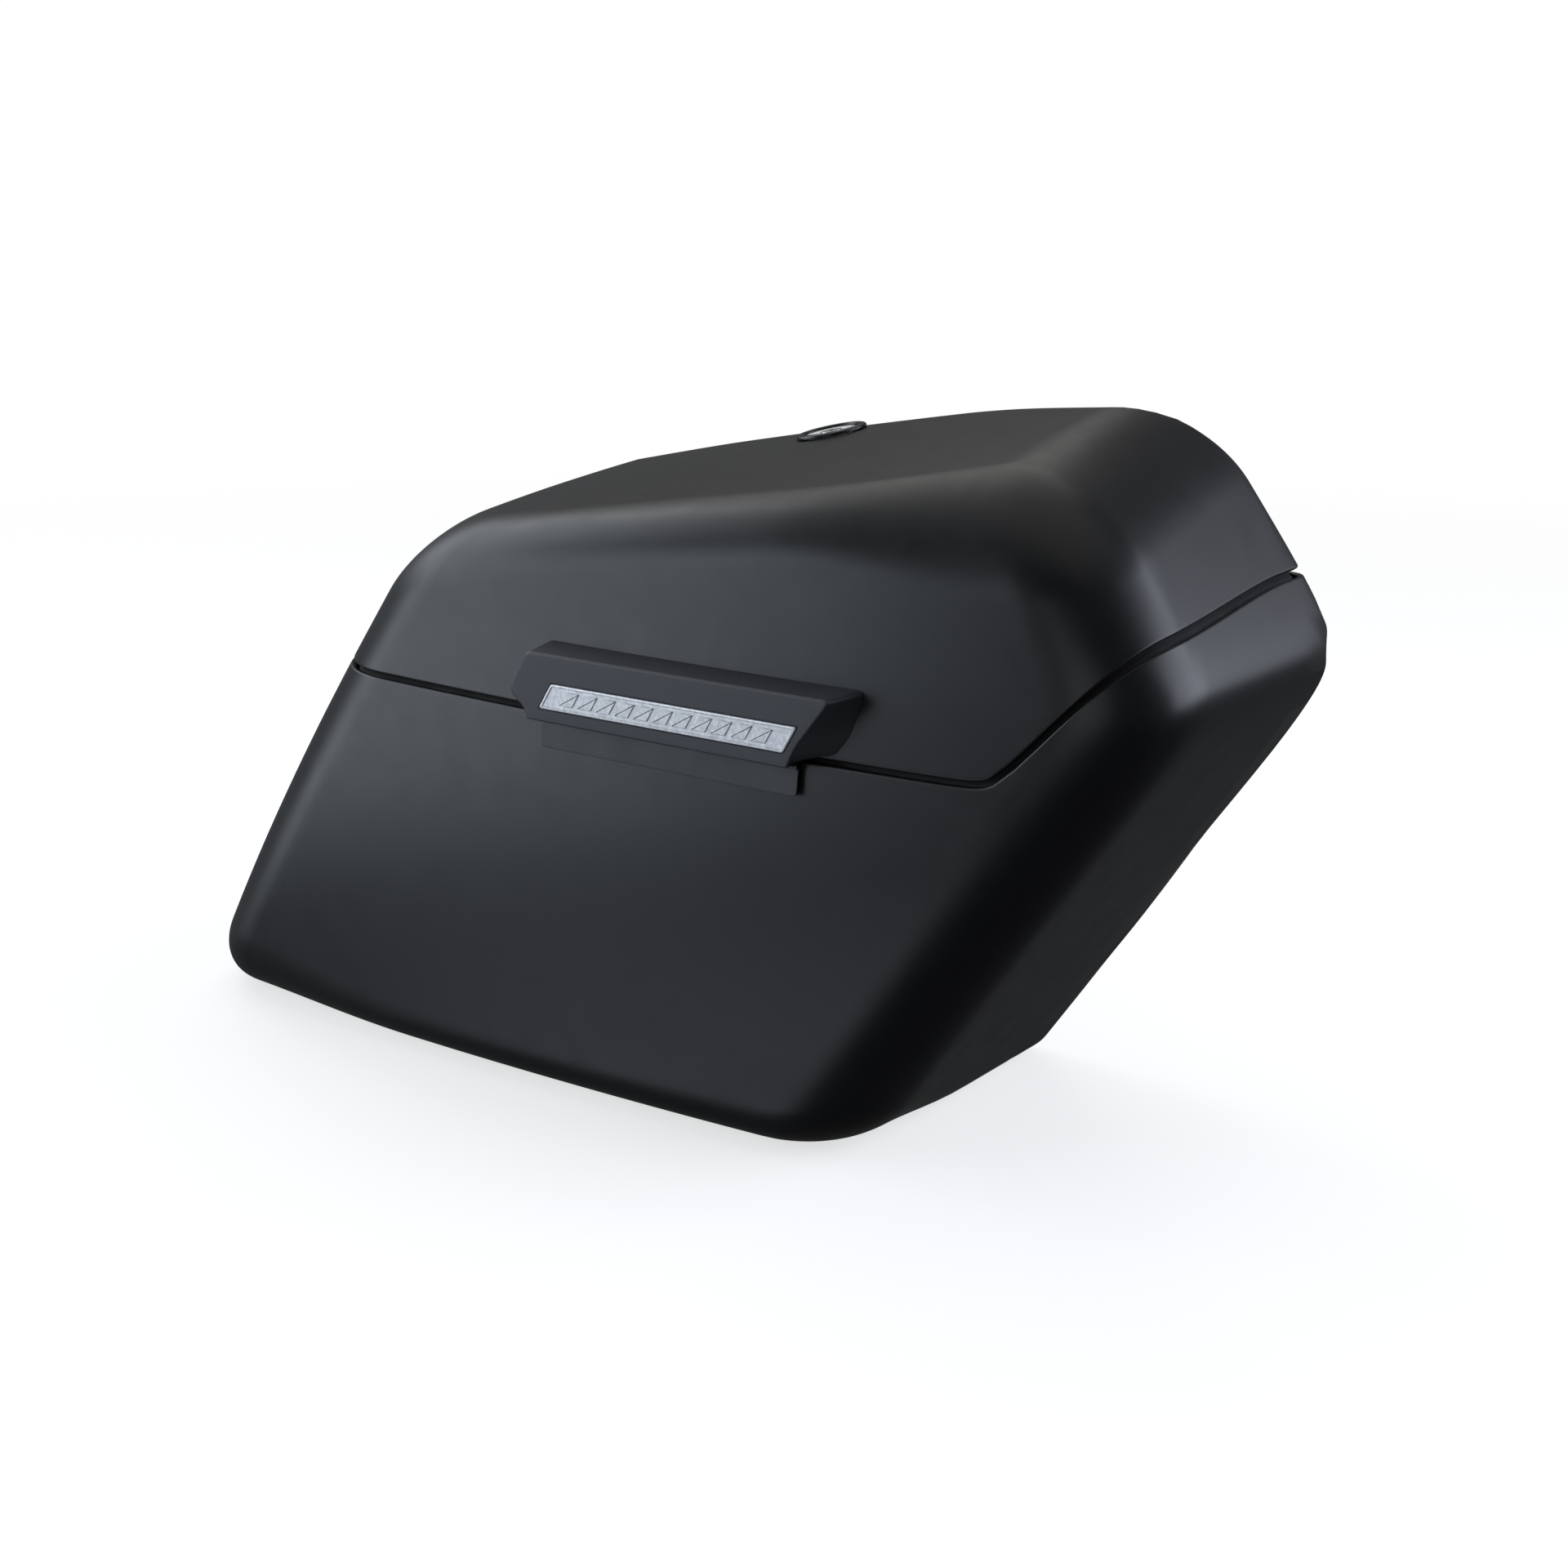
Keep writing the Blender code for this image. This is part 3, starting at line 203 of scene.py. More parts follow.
def seam_height(x, y):
    """Height of the seam: level along the outer face, a diagonal at the rear, sloping on the inner side."""
    rise = SEAM_DIAGONAL * (x - SEAM_CORNER_X)
    outer = SEAM_Z + 0.5 * (rise + np.sqrt(rise ** 2 + SEAM_CORNER_ROUND ** 2))
    over = outer - SEAM_DIAGONAL_TOP
    outer = SEAM_DIAGONAL_TOP + 0.5 * (over - np.sqrt(over ** 2 + SEAM_CORNER_ROUND ** 2))
    inner = SEAM_INNER_Z + SEAM_INNER_RISE * x
    across = smooth_step((y + SEAM_BLEND_Y) / (2.0 * SEAM_BLEND_Y))
    return outer * (1.0 - across) + inner * across


def unit(vectors):
    """Vectors scaled to length 1."""
    return vectors / np.linalg.norm(vectors, axis=-1, keepdims=True)


def between(ends, shares):
    """Points on the straight line between two ends."""
    start, end = np.array(ends[0]), np.array(ends[1])
    return start + (end - start) * shares[:, None]


def ring_points(spine, height, shares, angles):
    """Where a ring round the form, at a height for each place, crosses plan directions from its spine."""
    origins = between(spine, shares)
    directions = np.stack([np.cos(angles), np.sin(angles), np.zeros_like(angles)], axis=1)
    low = np.zeros(len(shares))
    high = np.full(len(shares), 0.4)
    for _ in range(40):
        middle = 0.5 * (low + high)
        points = origins + directions * middle[:, None]
        points[:, 2] = height(points[:, 0], points[:, 1])
        inside = form(points) < 0.0
        low = np.where(inside, middle, low)
        high = np.where(inside, high, middle)
    return points


def travel(points):
    """Share travelled along each column of points, counting length and turning."""
    normals = surface_normals(points)
    lengths = np.linalg.norm(np.diff(points, axis=0), axis=-1)
    turns = np.linalg.norm(np.diff(normals, axis=0), axis=-1)
    steps = lengths / lengths.sum(axis=0) + TURN_WEIGHT * turns / turns.sum(axis=0)
    travelled = np.concatenate([np.zeros((1, points.shape[1])), np.cumsum(steps, axis=0)])
    return travelled / travelled[-1]


def fan_angles(spine, height, share, middle):
    """Plan directions of an end's columns, closer together round its corners."""
    fine = np.radians(np.linspace(middle - 90.0, middle + 90.0, FINE_ROWS))
    points = ring_points(spine, height, np.full(FINE_ROWS, share), fine)
    travelled = travel(points[:, None, :])[:, 0]
    return np.interp(np.linspace(0.0, 1.0, END_COLUMNS + 2)[1:-1], travelled, fine)


def ring(spine, height):
    """Share along the spine and point on the form of every column round a ring."""
    shares = np.linspace(0.0, 1.0, SPINE_COLUMNS + 1)
    along = np.concatenate([shares, np.ones(END_COLUMNS), shares[::-1], np.zeros(END_COLUMNS)])
    outward = np.full(SPINE_COLUMNS + 1, math.radians(-90.0))
    rear = fan_angles(spine, height, 1.0, 0.0)
    front = fan_angles(spine, height, 0.0, 180.0)
    angles = np.concatenate([outward, rear, -outward, front])
    return along, ring_points(spine, height, along, angles)


def foot_height(x, y):
    """Height of the ring in the rounding of the foot."""
    return np.full_like(x, FOOT_RING_Z)


def shoulder_height(x, y):
    """Height of the ring below the shoulder of the lid."""
    return top_face(x, y) - SHOULDER_RING_DROP


def seam_loop():
    """Of each column: share along the spine, seam point, normal there, direction up the surface."""
    along, points = ring(SEAM_SPINE, seam_height)
    normals = surface_normals(points)
    tangents = np.roll(points, -1, axis=0) - np.roll(points, 1, axis=0)
    rises = unit(np.cross(normals, tangents))
    rises *= np.sign(rises[:, 2:3])
    return along, points, normals, rises


def half_gap(seam, upward):
    """Distance of a rim from the seam: the rim of the case is lower across the rear end."""
    lowered = REAR_GAP if upward < 0.0 else 0.0
    return 0.5 * SEAM_GAP + lowered * smooth_step((seam[:, 0] - REAR_GAP_X) / REAR_GAP_RAMP)


def turn_through(waypoints, share):
    """Unit directions part of the way through three waypoints: 0 is the first, 1 the ring, 2 the pole."""
    share = np.broadcast_to(np.reshape(share, (-1, 1)), (len(waypoints[0]), 1))
    later = share > 1.0
    start = np.where(later, waypoints[1], waypoints[0])
    end = np.where(later, waypoints[2], waypoints[1])
    part = share - later
    angle = np.arccos(np.clip(np.sum(start * end, axis=-1), -1.0, 1.0))[:, None]
    return (np.sin((1.0 - part) * angle) * start + np.sin(part * angle) * end) / np.sin(angle)


def row_shares(origins, waypoints, rows):
    """Share of each row in each column: rows lie closer together where the surface turns."""
    fine = np.linspace(0.0, 2.0, 2 * FINE_ROWS - 1)
    points = np.stack([surface_points(origins, turn_through(waypoints, share), steps=20) for share in fine])
    travelled = travel(points)
    wanted = np.concatenate([[0.0, 0.15 / rows], np.linspace(0.0, 1.0, rows)[1:]])
    return np.stack([np.interp(wanted, column, fine) for column in travelled.T], axis=1)


def link(obj):
    """Show an object in the scene."""
    bpy.context.scene.collection.objects.link(obj)
    return obj


def mesh_object(name, mesh, shift=FRAME_SHIFT, sharp=35.0):
    """Object from a bmesh in design coordinates, shaded smooth up to an angle."""
    if shift is not None:
        bmesh.ops.translate(mesh, verts=mesh.verts, vec=shift)
    data = bpy.data.meshes.new(name)
    mesh.to_mesh(data)
    mesh.free()
    data.shade_smooth()
    data.set_sharp_from_angle(angle=math.radians(sharp))
    return link(bpy.data.objects.new(name, data))


def join_rings(mesh, rings):
    """Faces between each ring of verts and the next."""
    for first, second in zip(rings, rings[1:]):
        for index in range(len(first)):
            after = (index + 1) % len(first)
            mesh.faces.new((first[index], first[after], second[after], second[index]))


def loops_mesh(loops, closed=False, cap=True):
    """Mesh through loops of equal length: walls between them, and a cap or a last wall back to the first."""
    mesh = bmesh.new()
    grid = [[mesh.verts.new(point) for point in loop] for loop in loops]
    join_rings(mesh, grid + grid[:1] if closed else grid)
    if cap and not closed:
        mesh.faces.new(grid[0])
        mesh.faces.new(grid[-1][::-1])
    return mesh, grid


def apply_boolean(obj, cutter, operation="DIFFERENCE"):
    """Cut or join once, and keep the result as plain mesh."""
    modifier = obj.modifiers.new("boolean", "BOOLEAN")
    modifier.operation = operation
    modifier.solver = "EXACT"
    modifier.object = cutter
    depsgraph = bpy.context.evaluated_depsgraph_get()
    data = bpy.data.meshes.new_from_object(obj.evaluated_get(depsgraph))
    obj.modifiers.clear()
    old = obj.data
    obj.data = data
    data.name = obj.name
    bpy.data.meshes.remove(old)
    bpy.data.objects.remove(cutter, do_unlink=True)
    data.shade_smooth()
    data.set_sharp_from_angle(angle=math.radians(35.0))


def turned(name, profile, place, segments=64):
    """Closed profile of radius and height turned about its axis; a radius of 0 is on the axis."""
    mesh = bmesh.new()
    points = [mesh.verts.new((radius, 0.0, height)) for radius, height in profile]
    edges = [mesh.edges.new(pair) for pair in zip(points, points[1:] + points[:1])]
    on_axis = [edge for edge in edges if all(abs(vert.co.x) < 1e-9 for vert in edge.verts)]
    bmesh.ops.delete(mesh, geom=on_axis, context="EDGES_FACES")
    bmesh.ops.spin(mesh, geom=mesh.verts[:] + mesh.edges[:], cent=(0, 0, 0), axis=(0, 0, 1),
                   angle=2.0 * math.pi, steps=segments, use_merge=True, use_duplicate=False)
    bmesh.ops.remove_doubles(mesh, verts=mesh.verts, dist=1e-6)
    bmesh.ops.transform(mesh, matrix=place, verts=mesh.verts)
    bmesh.ops.recalc_face_normals(mesh, faces=mesh.faces)
    return mesh_object(name, mesh)


def rounded_profile(corners, steps=4):
    """Closed profile with a radius at each (x, y, radius) corner."""
    points = []
    count = len(corners)
    for index, (x, y, radius) in enumerate(corners):
        here = Vector((x, y))
        if radius <= 0.0:
            points.append(tuple(here))
            continue
        before = Vector(corners[index - 1][:2])
        after = Vector(corners[(index + 1) % count][:2])
        start = here + (before - here).normalized() * radius
        end = here + (after - here).normalized() * radius
        for step in range(steps + 1):
            t = step / steps
            points.append(tuple((1 - t) ** 2 * start + 2 * t * (1 - t) * here + t ** 2 * end))
    return points


def place_at(point, direction):
    """Placement at a point with +Z along a direction."""
    return Matrix.Translation(Vector(point)) @ Vector(direction).to_track_quat("Z", "Y").to_matrix().to_4x4()


def rectangle(left, right, low, high):
    """Corners of a rectangle, counter-clockwise."""
    return (left, low), (right, low), (right, high), (left, high)


def outline(corners, radii, arc=6, side=6):
    """Outline with rounded corners: its number of points depends only on its number of corners."""
    count = len(corners)
    if not hasattr(radii, "__len__"):
        radii = (radii,) * count
    arcs = []
    for index, corner in enumerate(corners):
        here = Vector(corner)
        before = Vector(corners[index - 1])
        after = Vector(corners[(index + 1) % count])
        start = here + (before - here).normalized() * radii[index]
        end = here + (after - here).normalized() * radii[index]
        steps = [step / arc for step in range(arc + 1)]
        arcs.append([(1 - t) ** 2 * start + 2 * t * (1 - t) * here + t ** 2 * end for t in steps])
    points = []
    for index, bend in enumerate(arcs):
        points += bend
        following = arcs[(index + 1) % count][0]
        points += [bend[-1].lerp(following, step / side) for step in range(1, side)]
    return points


def inset(points, distance):
    """Closed outline moved inwards (the outline runs counter-clockwise)."""
    moved = []
    count = len(points)
    for index in range(count):
        before, here, after = points[index - 1], points[index], points[(index + 1) % count]
        into = (here - before).normalized()
        out = (after - here).normalized()
        normal_in, normal_out = Vector((-into.y, into.x)), Vector((-out.y, out.x))
        moved.append(here + (normal_in + normal_out) * (distance / (1.0 + normal_in.dot(normal_out))))
    return moved


def fill_between(mesh, rings):
    """Flat faces inside the first ring of verts and outside the others."""
    edges = []
    for ring_verts in rings:
        for index, vert in enumerate(ring_verts):
            other = ring_verts[(index + 1) % len(ring_verts)]
            edges.append(mesh.edges.get((vert, other)) or mesh.edges.new((vert, other)))
    bmesh.ops.triangle_fill(mesh, use_beauty=True, edges=edges)


def face_y(x, z):
    """Y of the outer face at one place."""
    return float(outer_face(np.array(x), np.array(z)))


# ---------------------------------------------------------------- materials

def new_material(name):
    """Material with a Principled shader, and its tree."""
    made = bpy.data.materials.new(name)
    made.use_nodes = True
    return made, made.node_tree, made.node_tree.nodes["Principled BSDF"]


def noise_node(tree, coords, scale, detail=3.0, rough=0.55):
    """Noise over object coordinates."""
    node = tree.nodes.new("ShaderNodeTexNoise")
    node.inputs["Scale"].default_value = scale
    node.inputs["Detail"].default_value = detail
    node.inputs["Roughness"].default_value = rough
    tree.links.new(coords, node.inputs["Vector"])
    return node.outputs["Fac"]


def ranged(tree, value, low, high, start=0.3, end=0.7):
    """Value remapped from start..end to low..high."""
    node = tree.nodes.new("ShaderNodeMapRange")
    node.inputs["From Min"].default_value = start
    node.inputs["From Max"].default_value = end
    node.inputs["To Min"].default_value = low
    node.inputs["To Max"].default_value = high
    tree.links.new(value, node.inputs["Value"])
    return node.outputs["Result"]


def mixed(tree, factor, first, second):
    """Colour between two by a factor."""
    node = tree.nodes.new("ShaderNodeMix")
    node.data_type = "RGBA"
    node.inputs[6].default_value = (*first, 1.0)
    node.inputs[7].default_value = (*second, 1.0)
    tree.links.new(factor, node.inputs[0])
    return node.outputs[2]


def bumped(tree, shader, value, distance):
    """Bump from a value, as high as a distance."""
    node = tree.nodes.new("ShaderNodeBump")
    node.inputs["Strength"].default_value = 1.0
    node.inputs["Distance"].default_value = distance
    tree.links.new(value, node.inputs["Height"])
    tree.links.new(node.outputs["Normal"], shader.inputs["Normal"])


def plastic(name, dark, light, rough, grain_size, grain_height):
    """Moulded black plastic: slight mottling, uneven gloss and a fine moulded grain."""
    made, tree, shader = new_material(name)
    coords = tree.nodes.new("ShaderNodeTexCoord").outputs["Object"]
    broad = noise_node(tree, coords, 9.0, 3.0)
    fine = noise_node(tree, coords, 1.0 / grain_size, 2.0, 0.6)
    patch = noise_node(tree, coords, 60.0, 4.0)
    tree.links.new(mixed(tree, ranged(tree, broad, 0.0, 1.0), dark, light), shader.inputs["Base Color"])
    tree.links.new(ranged(tree, patch, *rough), shader.inputs["Roughness"])
    bumped(tree, shader, fine, grain_height)
    shader.inputs["IOR"].default_value = 1.47
    return made


def metal(name, dark, light, rough, grain_size, grain_height, metallic=1.0):
    """Metal with uneven tone and gloss and a fine grain; painted or clouded metal is less metallic."""
    made, tree, shader = new_material(name)
    coords = tree.nodes.new("ShaderNodeTexCoord").outputs["Object"]
    tone = noise_node(tree, coords, 0.25 / grain_size, 4.0, 0.65)
    grain = noise_node(tree, coords, 1.0 / grain_size, 3.0, 0.6)
    tree.links.new(mixed(tree, ranged(tree, tone, 0.0, 1.0), dark, light), shader.inputs["Base Color"])
    tree.links.new(ranged(tree, grain, *rough), shader.inputs["Roughness"])
    bumped(tree, shader, grain, grain_height)
    shader.inputs["Metallic"].default_value = metallic
    return made


SHELL = plastic("shell_outside", (0.0052, 0.0055, 0.0066), (0.0064, 0.0067, 0.0080),
                (0.34, 0.39), 0.0009, 0.000010)
SHELL_INSIDE = plastic("shell_inside", (0.016, 0.016, 0.017), (0.022, 0.022, 0.023),
                       (0.62, 0.74), 0.0011, 0.00009)
COVER = plastic("cover_plastic", (0.0420, 0.0440, 0.0510), (0.0470, 0.0490, 0.0560),
                (0.40, 0.46), 0.0008, 0.000014)
POWDER = plastic("powder_coat", (0.0110, 0.0115, 0.0130), (0.0150, 0.0155, 0.0170),
                 (0.38, 0.46), 0.0007, 0.000020)
BEZEL = plastic("bezel_black", (0.0060, 0.0062, 0.0070), (0.0085, 0.0088, 0.0095),
                (0.22, 0.30), 0.0006, 0.000006)
RUBBER = plastic("rubber_black", (0.010, 0.010, 0.010), (0.019, 0.018, 0.018), (0.70, 0.86), 0.0007, 0.00006)
CAST = metal("cast_silver", (0.56, 0.56, 0.59), (0.90, 0.90, 0.93),
             (0.36, 0.56), 0.0006, 0.00006, metallic=0.5)
INSERT = metal("button_silver", (0.90, 0.90, 0.86), (0.95, 0.95, 0.91),
               (0.44, 0.54), 0.0007, 0.00001, metallic=0.0)
ZINC = metal("zinc_plate", (0.46, 0.47, 0.49), (0.66, 0.67, 0.69), (0.26, 0.42), 0.0011, 0.00002)
SPRING = metal("spring_steel", (0.40, 0.40, 0.42), (0.58, 0.58, 0.60), (0.24, 0.34), 0.0005, 0.00001)


def dress(obj, *materials):
    """Give an object its materials, in place of any that it has."""
    obj.data.materials.clear()
    for item in materials:
        obj.data.materials.append(item)


def level_normals(obj):
    """Keep the shading of large flat faces level where they meet rounded edges."""
    leveled = obj.modifiers.new("level_normals", "WEIGHTED_NORMAL")
    leveled.keep_sharp = True


def stand_for(obj, node, body, slot_name, *materials):
    """Finish a piece that replaces a CAD node."""
    dress(obj, *materials)
    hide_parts(node)
    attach(obj, body)


# ------------------------------------------------------------------- shells

def close_poles(loop):
    """Bring the columns of one spine share together in a single pole."""
    last = SPINE_COLUMNS
    for share in range(SPINE_COLUMNS + 1):
        opposite = 2 * SPINE_COLUMNS + 1 + END_COLUMNS - share
        loop[opposite] = loop[share]
    for column in range(END_COLUMNS):
        loop[last + 1 + column] = loop[last]
        loop[2 * last + 2 + END_COLUMNS + column] = loop[0]


def shell(name, upward, spine, turn, poles):
    """One half of the bag: a fine skin, a rounded rim and an inner skin."""
    along, seam, normals, rises = seam_loop()
    side = rises * upward
    origins = between(spine, along)
    gap = half_gap(seam, upward)[:, None]
    rim = seam + side * (gap + RIM_ROUND)
    waypoints = (unit(rim - origins), unit(ring(*turn)[1] - origins), unit(between(poles, along) - origins))
    shares = row_shares(origins, waypoints, SHELL_ROWS)
    outer = np.stack([surface_points(origins, turn_through(waypoints, share)) for share in shares])
    close_poles(outer[-1])
    inner = outer - surface_normals(outer) * WALL
    centre_out = rim - normals * RIM_ROUND
    centre_in = rim - normals * (WALL - RIM_ROUND)
    turns = np.linspace(0.0, 0.5 * math.pi, RIM_STEPS + 1)
    rim_out = [centre_out + RIM_ROUND * (normals * math.cos(t) - side * math.sin(t)) for t in turns[1:]]
    rim_in = [centre_in + RIM_ROUND * (-side * math.cos(t) - normals * math.sin(t)) for t in turns[:-1]]
    kept = sorted({0, 1, *range(4, len(inner), INNER_ROW_STEP), len(inner) - 1})
    loops = list(outer[::-1]) + rim_out + rim_in + [inner[row] for row in kept]
    mesh, grid = loops_mesh(loops, cap=False)
    inner_faces_start = (len(outer) - 1 + 2 * RIM_STEPS + 1) * len(along)
    mesh.faces.ensure_lookup_table()
    for index in range(inner_faces_start, len(mesh.faces)):
        mesh.faces[index].material_index = 1
    bmesh.ops.remove_doubles(mesh, verts=mesh.verts, dist=1e-6)
    bmesh.ops.recalc_face_normals(mesh, faces=mesh.faces)
    obj = mesh_object(name, mesh)
    dress(obj, SHELL, SHELL_INSIDE)
    return obj


def through_hole(obj, radius, place, reach=0.01, segments=32):
    """Round hole through a wall."""
    profile = ((0.0, -reach), (radius, -reach), (radius, reach), (0.0, reach))
    apply_boolean(obj, turned("hole", profile, place, segments))


def lock_place():
    """Placement at the lock on top of the lid, +Z along the normal, in design coordinates."""
    point = surface_points(np.array([[LOCK_X, LOCK_Y, 0.280]]), np.array([[0.0, 0.0, 1.0]]))
    return place_at(point[0], surface_normals(point)[0])


LOCK = lock_place()


def build_shells():
    """Case and lid, with the holes that can be seen."""
    base = shell("case_shell", -1.0, CASE_SPINE, (FOOT_SPINE, foot_height), CASE_POLES)
    for x, z in MOUNTS:
        through_hole(base, BOLT_HOLE_R, place_at((x, INNER_Y, z), (0, 1, 0)))
    through_hole(base, DRAIN_R, Matrix.Translation((*DRAIN, 0.0)))
    stand_for(base, "base_shell", "case", "satin_black_shell", SHELL, SHELL_INSIDE)
    lid = shell("lid_skin", 1.0, LID_SPINE, (SHOULDER_SPINE, shoulder_height), LID_POLES)
    through_hole(lid, LOCK_HOLE_R, LOCK, 0.02, 64)
    stand_for(lid, "lid_shell", "lid", "satin_black_shell", SHELL, SHELL_INSIDE)


def build_seal():
    """Bulb seal that stands inside the rim of the case, with a lip that reaches into the lid."""
    _, seam, _, rises = seam_loop()
    section = rounded_profile((
        (0.0056, -0.0080, 0.0006), (0.0052, -0.0030, 0.0004), (0.0052, -0.0010, 0.0012),
        (0.0066, 0.0012, 0.0008), (0.0068, 0.0035, 0.0012), (0.0098, 0.0035, 0.0014),
        (0.0098, -0.0022, 0.0006), (0.0090, -0.0030, 0.0003), (0.0098, -0.0038, 0.0006),
        (0.0098, -0.0080, 0.0006)), 3)
    loops = []
    for depth, height in section:
        skin = onto_surface(seam + rises * height)
        loops.append(skin - surface_normals(skin) * depth)
    mesh, _ = loops_mesh(loops, closed=True)
    bmesh.ops.recalc_face_normals(mesh, faces=mesh.faces)
    obj = mesh_object("edge_seal", mesh, sharp=60.0)
    stand_for(obj, "rim_seal", "case", "black_rubber", RUBBER)


# ------------------------------------------------------------ hinge and cover

def at_depth(points, depth):
    """Outline points in X and Z, each at its own Y."""
    return [(point.x, depth(point.x, point.y) if callable(depth) else depth, point.y) for point in points]


def build_cover():
    """Hinge cover: bevelled ends, rounded front edges, a pocket for the plate, hollow over the knuckles."""
    foot = outline(COVER_FOOT, COVER_ROUND, 6, 16)
    face = outline(COVER_FACE, COVER_ROUND, 6, 16)
    loops = [at_depth(foot, lambda x, z: face_y(x, z) - CLEARANCE)]
    for step in range(5):
        angle = 0.5 * math.pi * step / 4
        points = inset(face, COVER_EDGE * (1.0 - math.cos(angle)))
        loops.append(at_depth(points, COVER_FACE_Y + COVER_EDGE * (1.0 - math.sin(angle))))
    mesh, grid = loops_mesh(loops, cap=False)
    pocket = outline(PLATE_CORNERS, 0.0016, 5, 4)
    lip = 0.0003
    rings = [[mesh.verts.new(point) for point in at_depth(points, depth)]
             for points, depth in ((inset(pocket, -lip), COVER_FACE_Y), (pocket, COVER_FACE_Y + lip),
                                   (pocket, COVER_FACE_Y + PLATE_POCKET))]
    join_rings(mesh, rings)
    fill_between(mesh, [grid[-1], rings[0]])
    fill_between(mesh, [rings[-1]])
    fill_between(mesh, [grid[0]])
    bmesh.ops.recalc_face_normals(mesh, faces=mesh.faces)
    cover = mesh_object("hinge_cover_fine", mesh)
    hollow = bmesh.new()
    bmesh.ops.create_cube(hollow, size=1.0)
    low = Vector((LEAF_X[0] - 0.0015, COVER_FACE_Y + COVER_WALL, 0.2000))
    high = Vector((LEAF_X[1] + 0.0015, -0.0850, 0.2385))
    bmesh.ops.scale(hollow, vec=high - low, verts=hollow.verts)
    bmesh.ops.translate(hollow, vec=0.5 * (high + low), verts=hollow.verts)
    apply_boolean(cover, mesh_object("hollow", hollow))
    level_normals(cover)
    stand_for(cover, "hinge_cover", "lid", "satin_black_cover", COVER)


def diamond(centre_x, centre_z, half_width, half_height, lean):
    """Leaning four-sided figure with points along its sides."""
    corners = ((centre_x - half_width - lean, centre_z - half_height),
               (centre_x + half_width - lean, centre_z - half_height),
               (centre_x + half_width + lean, centre_z + half_height),
               (centre_x - half_width + lean, centre_z + half_height))
    return outline(corners, 0.0005, 3, 3)


def build_plate():
    """Cast plate: rounded border, sunk field and a plain row of raised leaning bars."""
    corners = [Vector(corner) for corner in PLATE_CORNERS]
    edge = outline(inset(corners, 0.0005), 0.0013, 5, 12)
    back = COVER_FACE_Y + PLATE_POCKET - CLEARANCE
    front = back - PLATE_T
    border, sunk = 0.0010, 0.0005
    levels = ((0.0, back), (0.0, front + 0.0004), (0.0001, front + 0.00015), (0.0004, front),
              (border, front), (border + 0.0003, front + 0.0002), (border + 0.0005, front + sunk))
    mesh, grid = loops_mesh([at_depth(inset(edge, move), depth) for move, depth in levels], cap=False)
    bars = []
    left_low, right_low, right_high, left_high = corners
    for index in range(BAR_COUNT):
        share = (index + 0.5) / BAR_COUNT
        low = left_low.lerp(right_low, 0.07 + 0.86 * share)
        high = left_high.lerp(right_high, 0.07 + 0.86 * share)
        middle = 0.5 * (low + high)
        half_height = 0.5 * (high.y - low.y) - BAR_MARGIN
        lean = 0.5 * (high.x - low.x) * half_height / (0.5 * (high.y - low.y))
        shape = diamond(middle.x, middle.y, BAR_HALF_WIDTH, half_height, lean)
        rings = [[mesh.verts.new(point) for point in at_depth(inset(shape, move), depth)]
                 for move, depth in ((0.0, front + sunk), (0.00025, front + 0.0002), (0.0005, front))]
        join_rings(mesh, rings)
        mesh.faces.new(rings[-1])
        bars.append(rings[0])
    fill_between(mesh, [grid[-1], *bars])
    mesh.faces.new(grid[0])
    bmesh.ops.recalc_face_normals(mesh, faces=mesh.faces)
    plate = mesh_object("cast_plate", mesh, sharp=28.0)
    stand_for(plate, "nameplate", "lid", "cast_silver", CAST)


def rod(start, end, radius, segments=32):
    """Bmesh of a round rod with slightly rounded ends."""
    start, end = Vector(start), Vector(end)
    length = (end - start).length
    ease = 0.0003
    profile = rounded_profile(
        ((0.0, 0.0, 0.0), (radius, 0.0, ease), (radius, length, ease), (0.0, length, 0.0)), 3)
    return turned("rod", profile, place_at(start, end - start), segments)


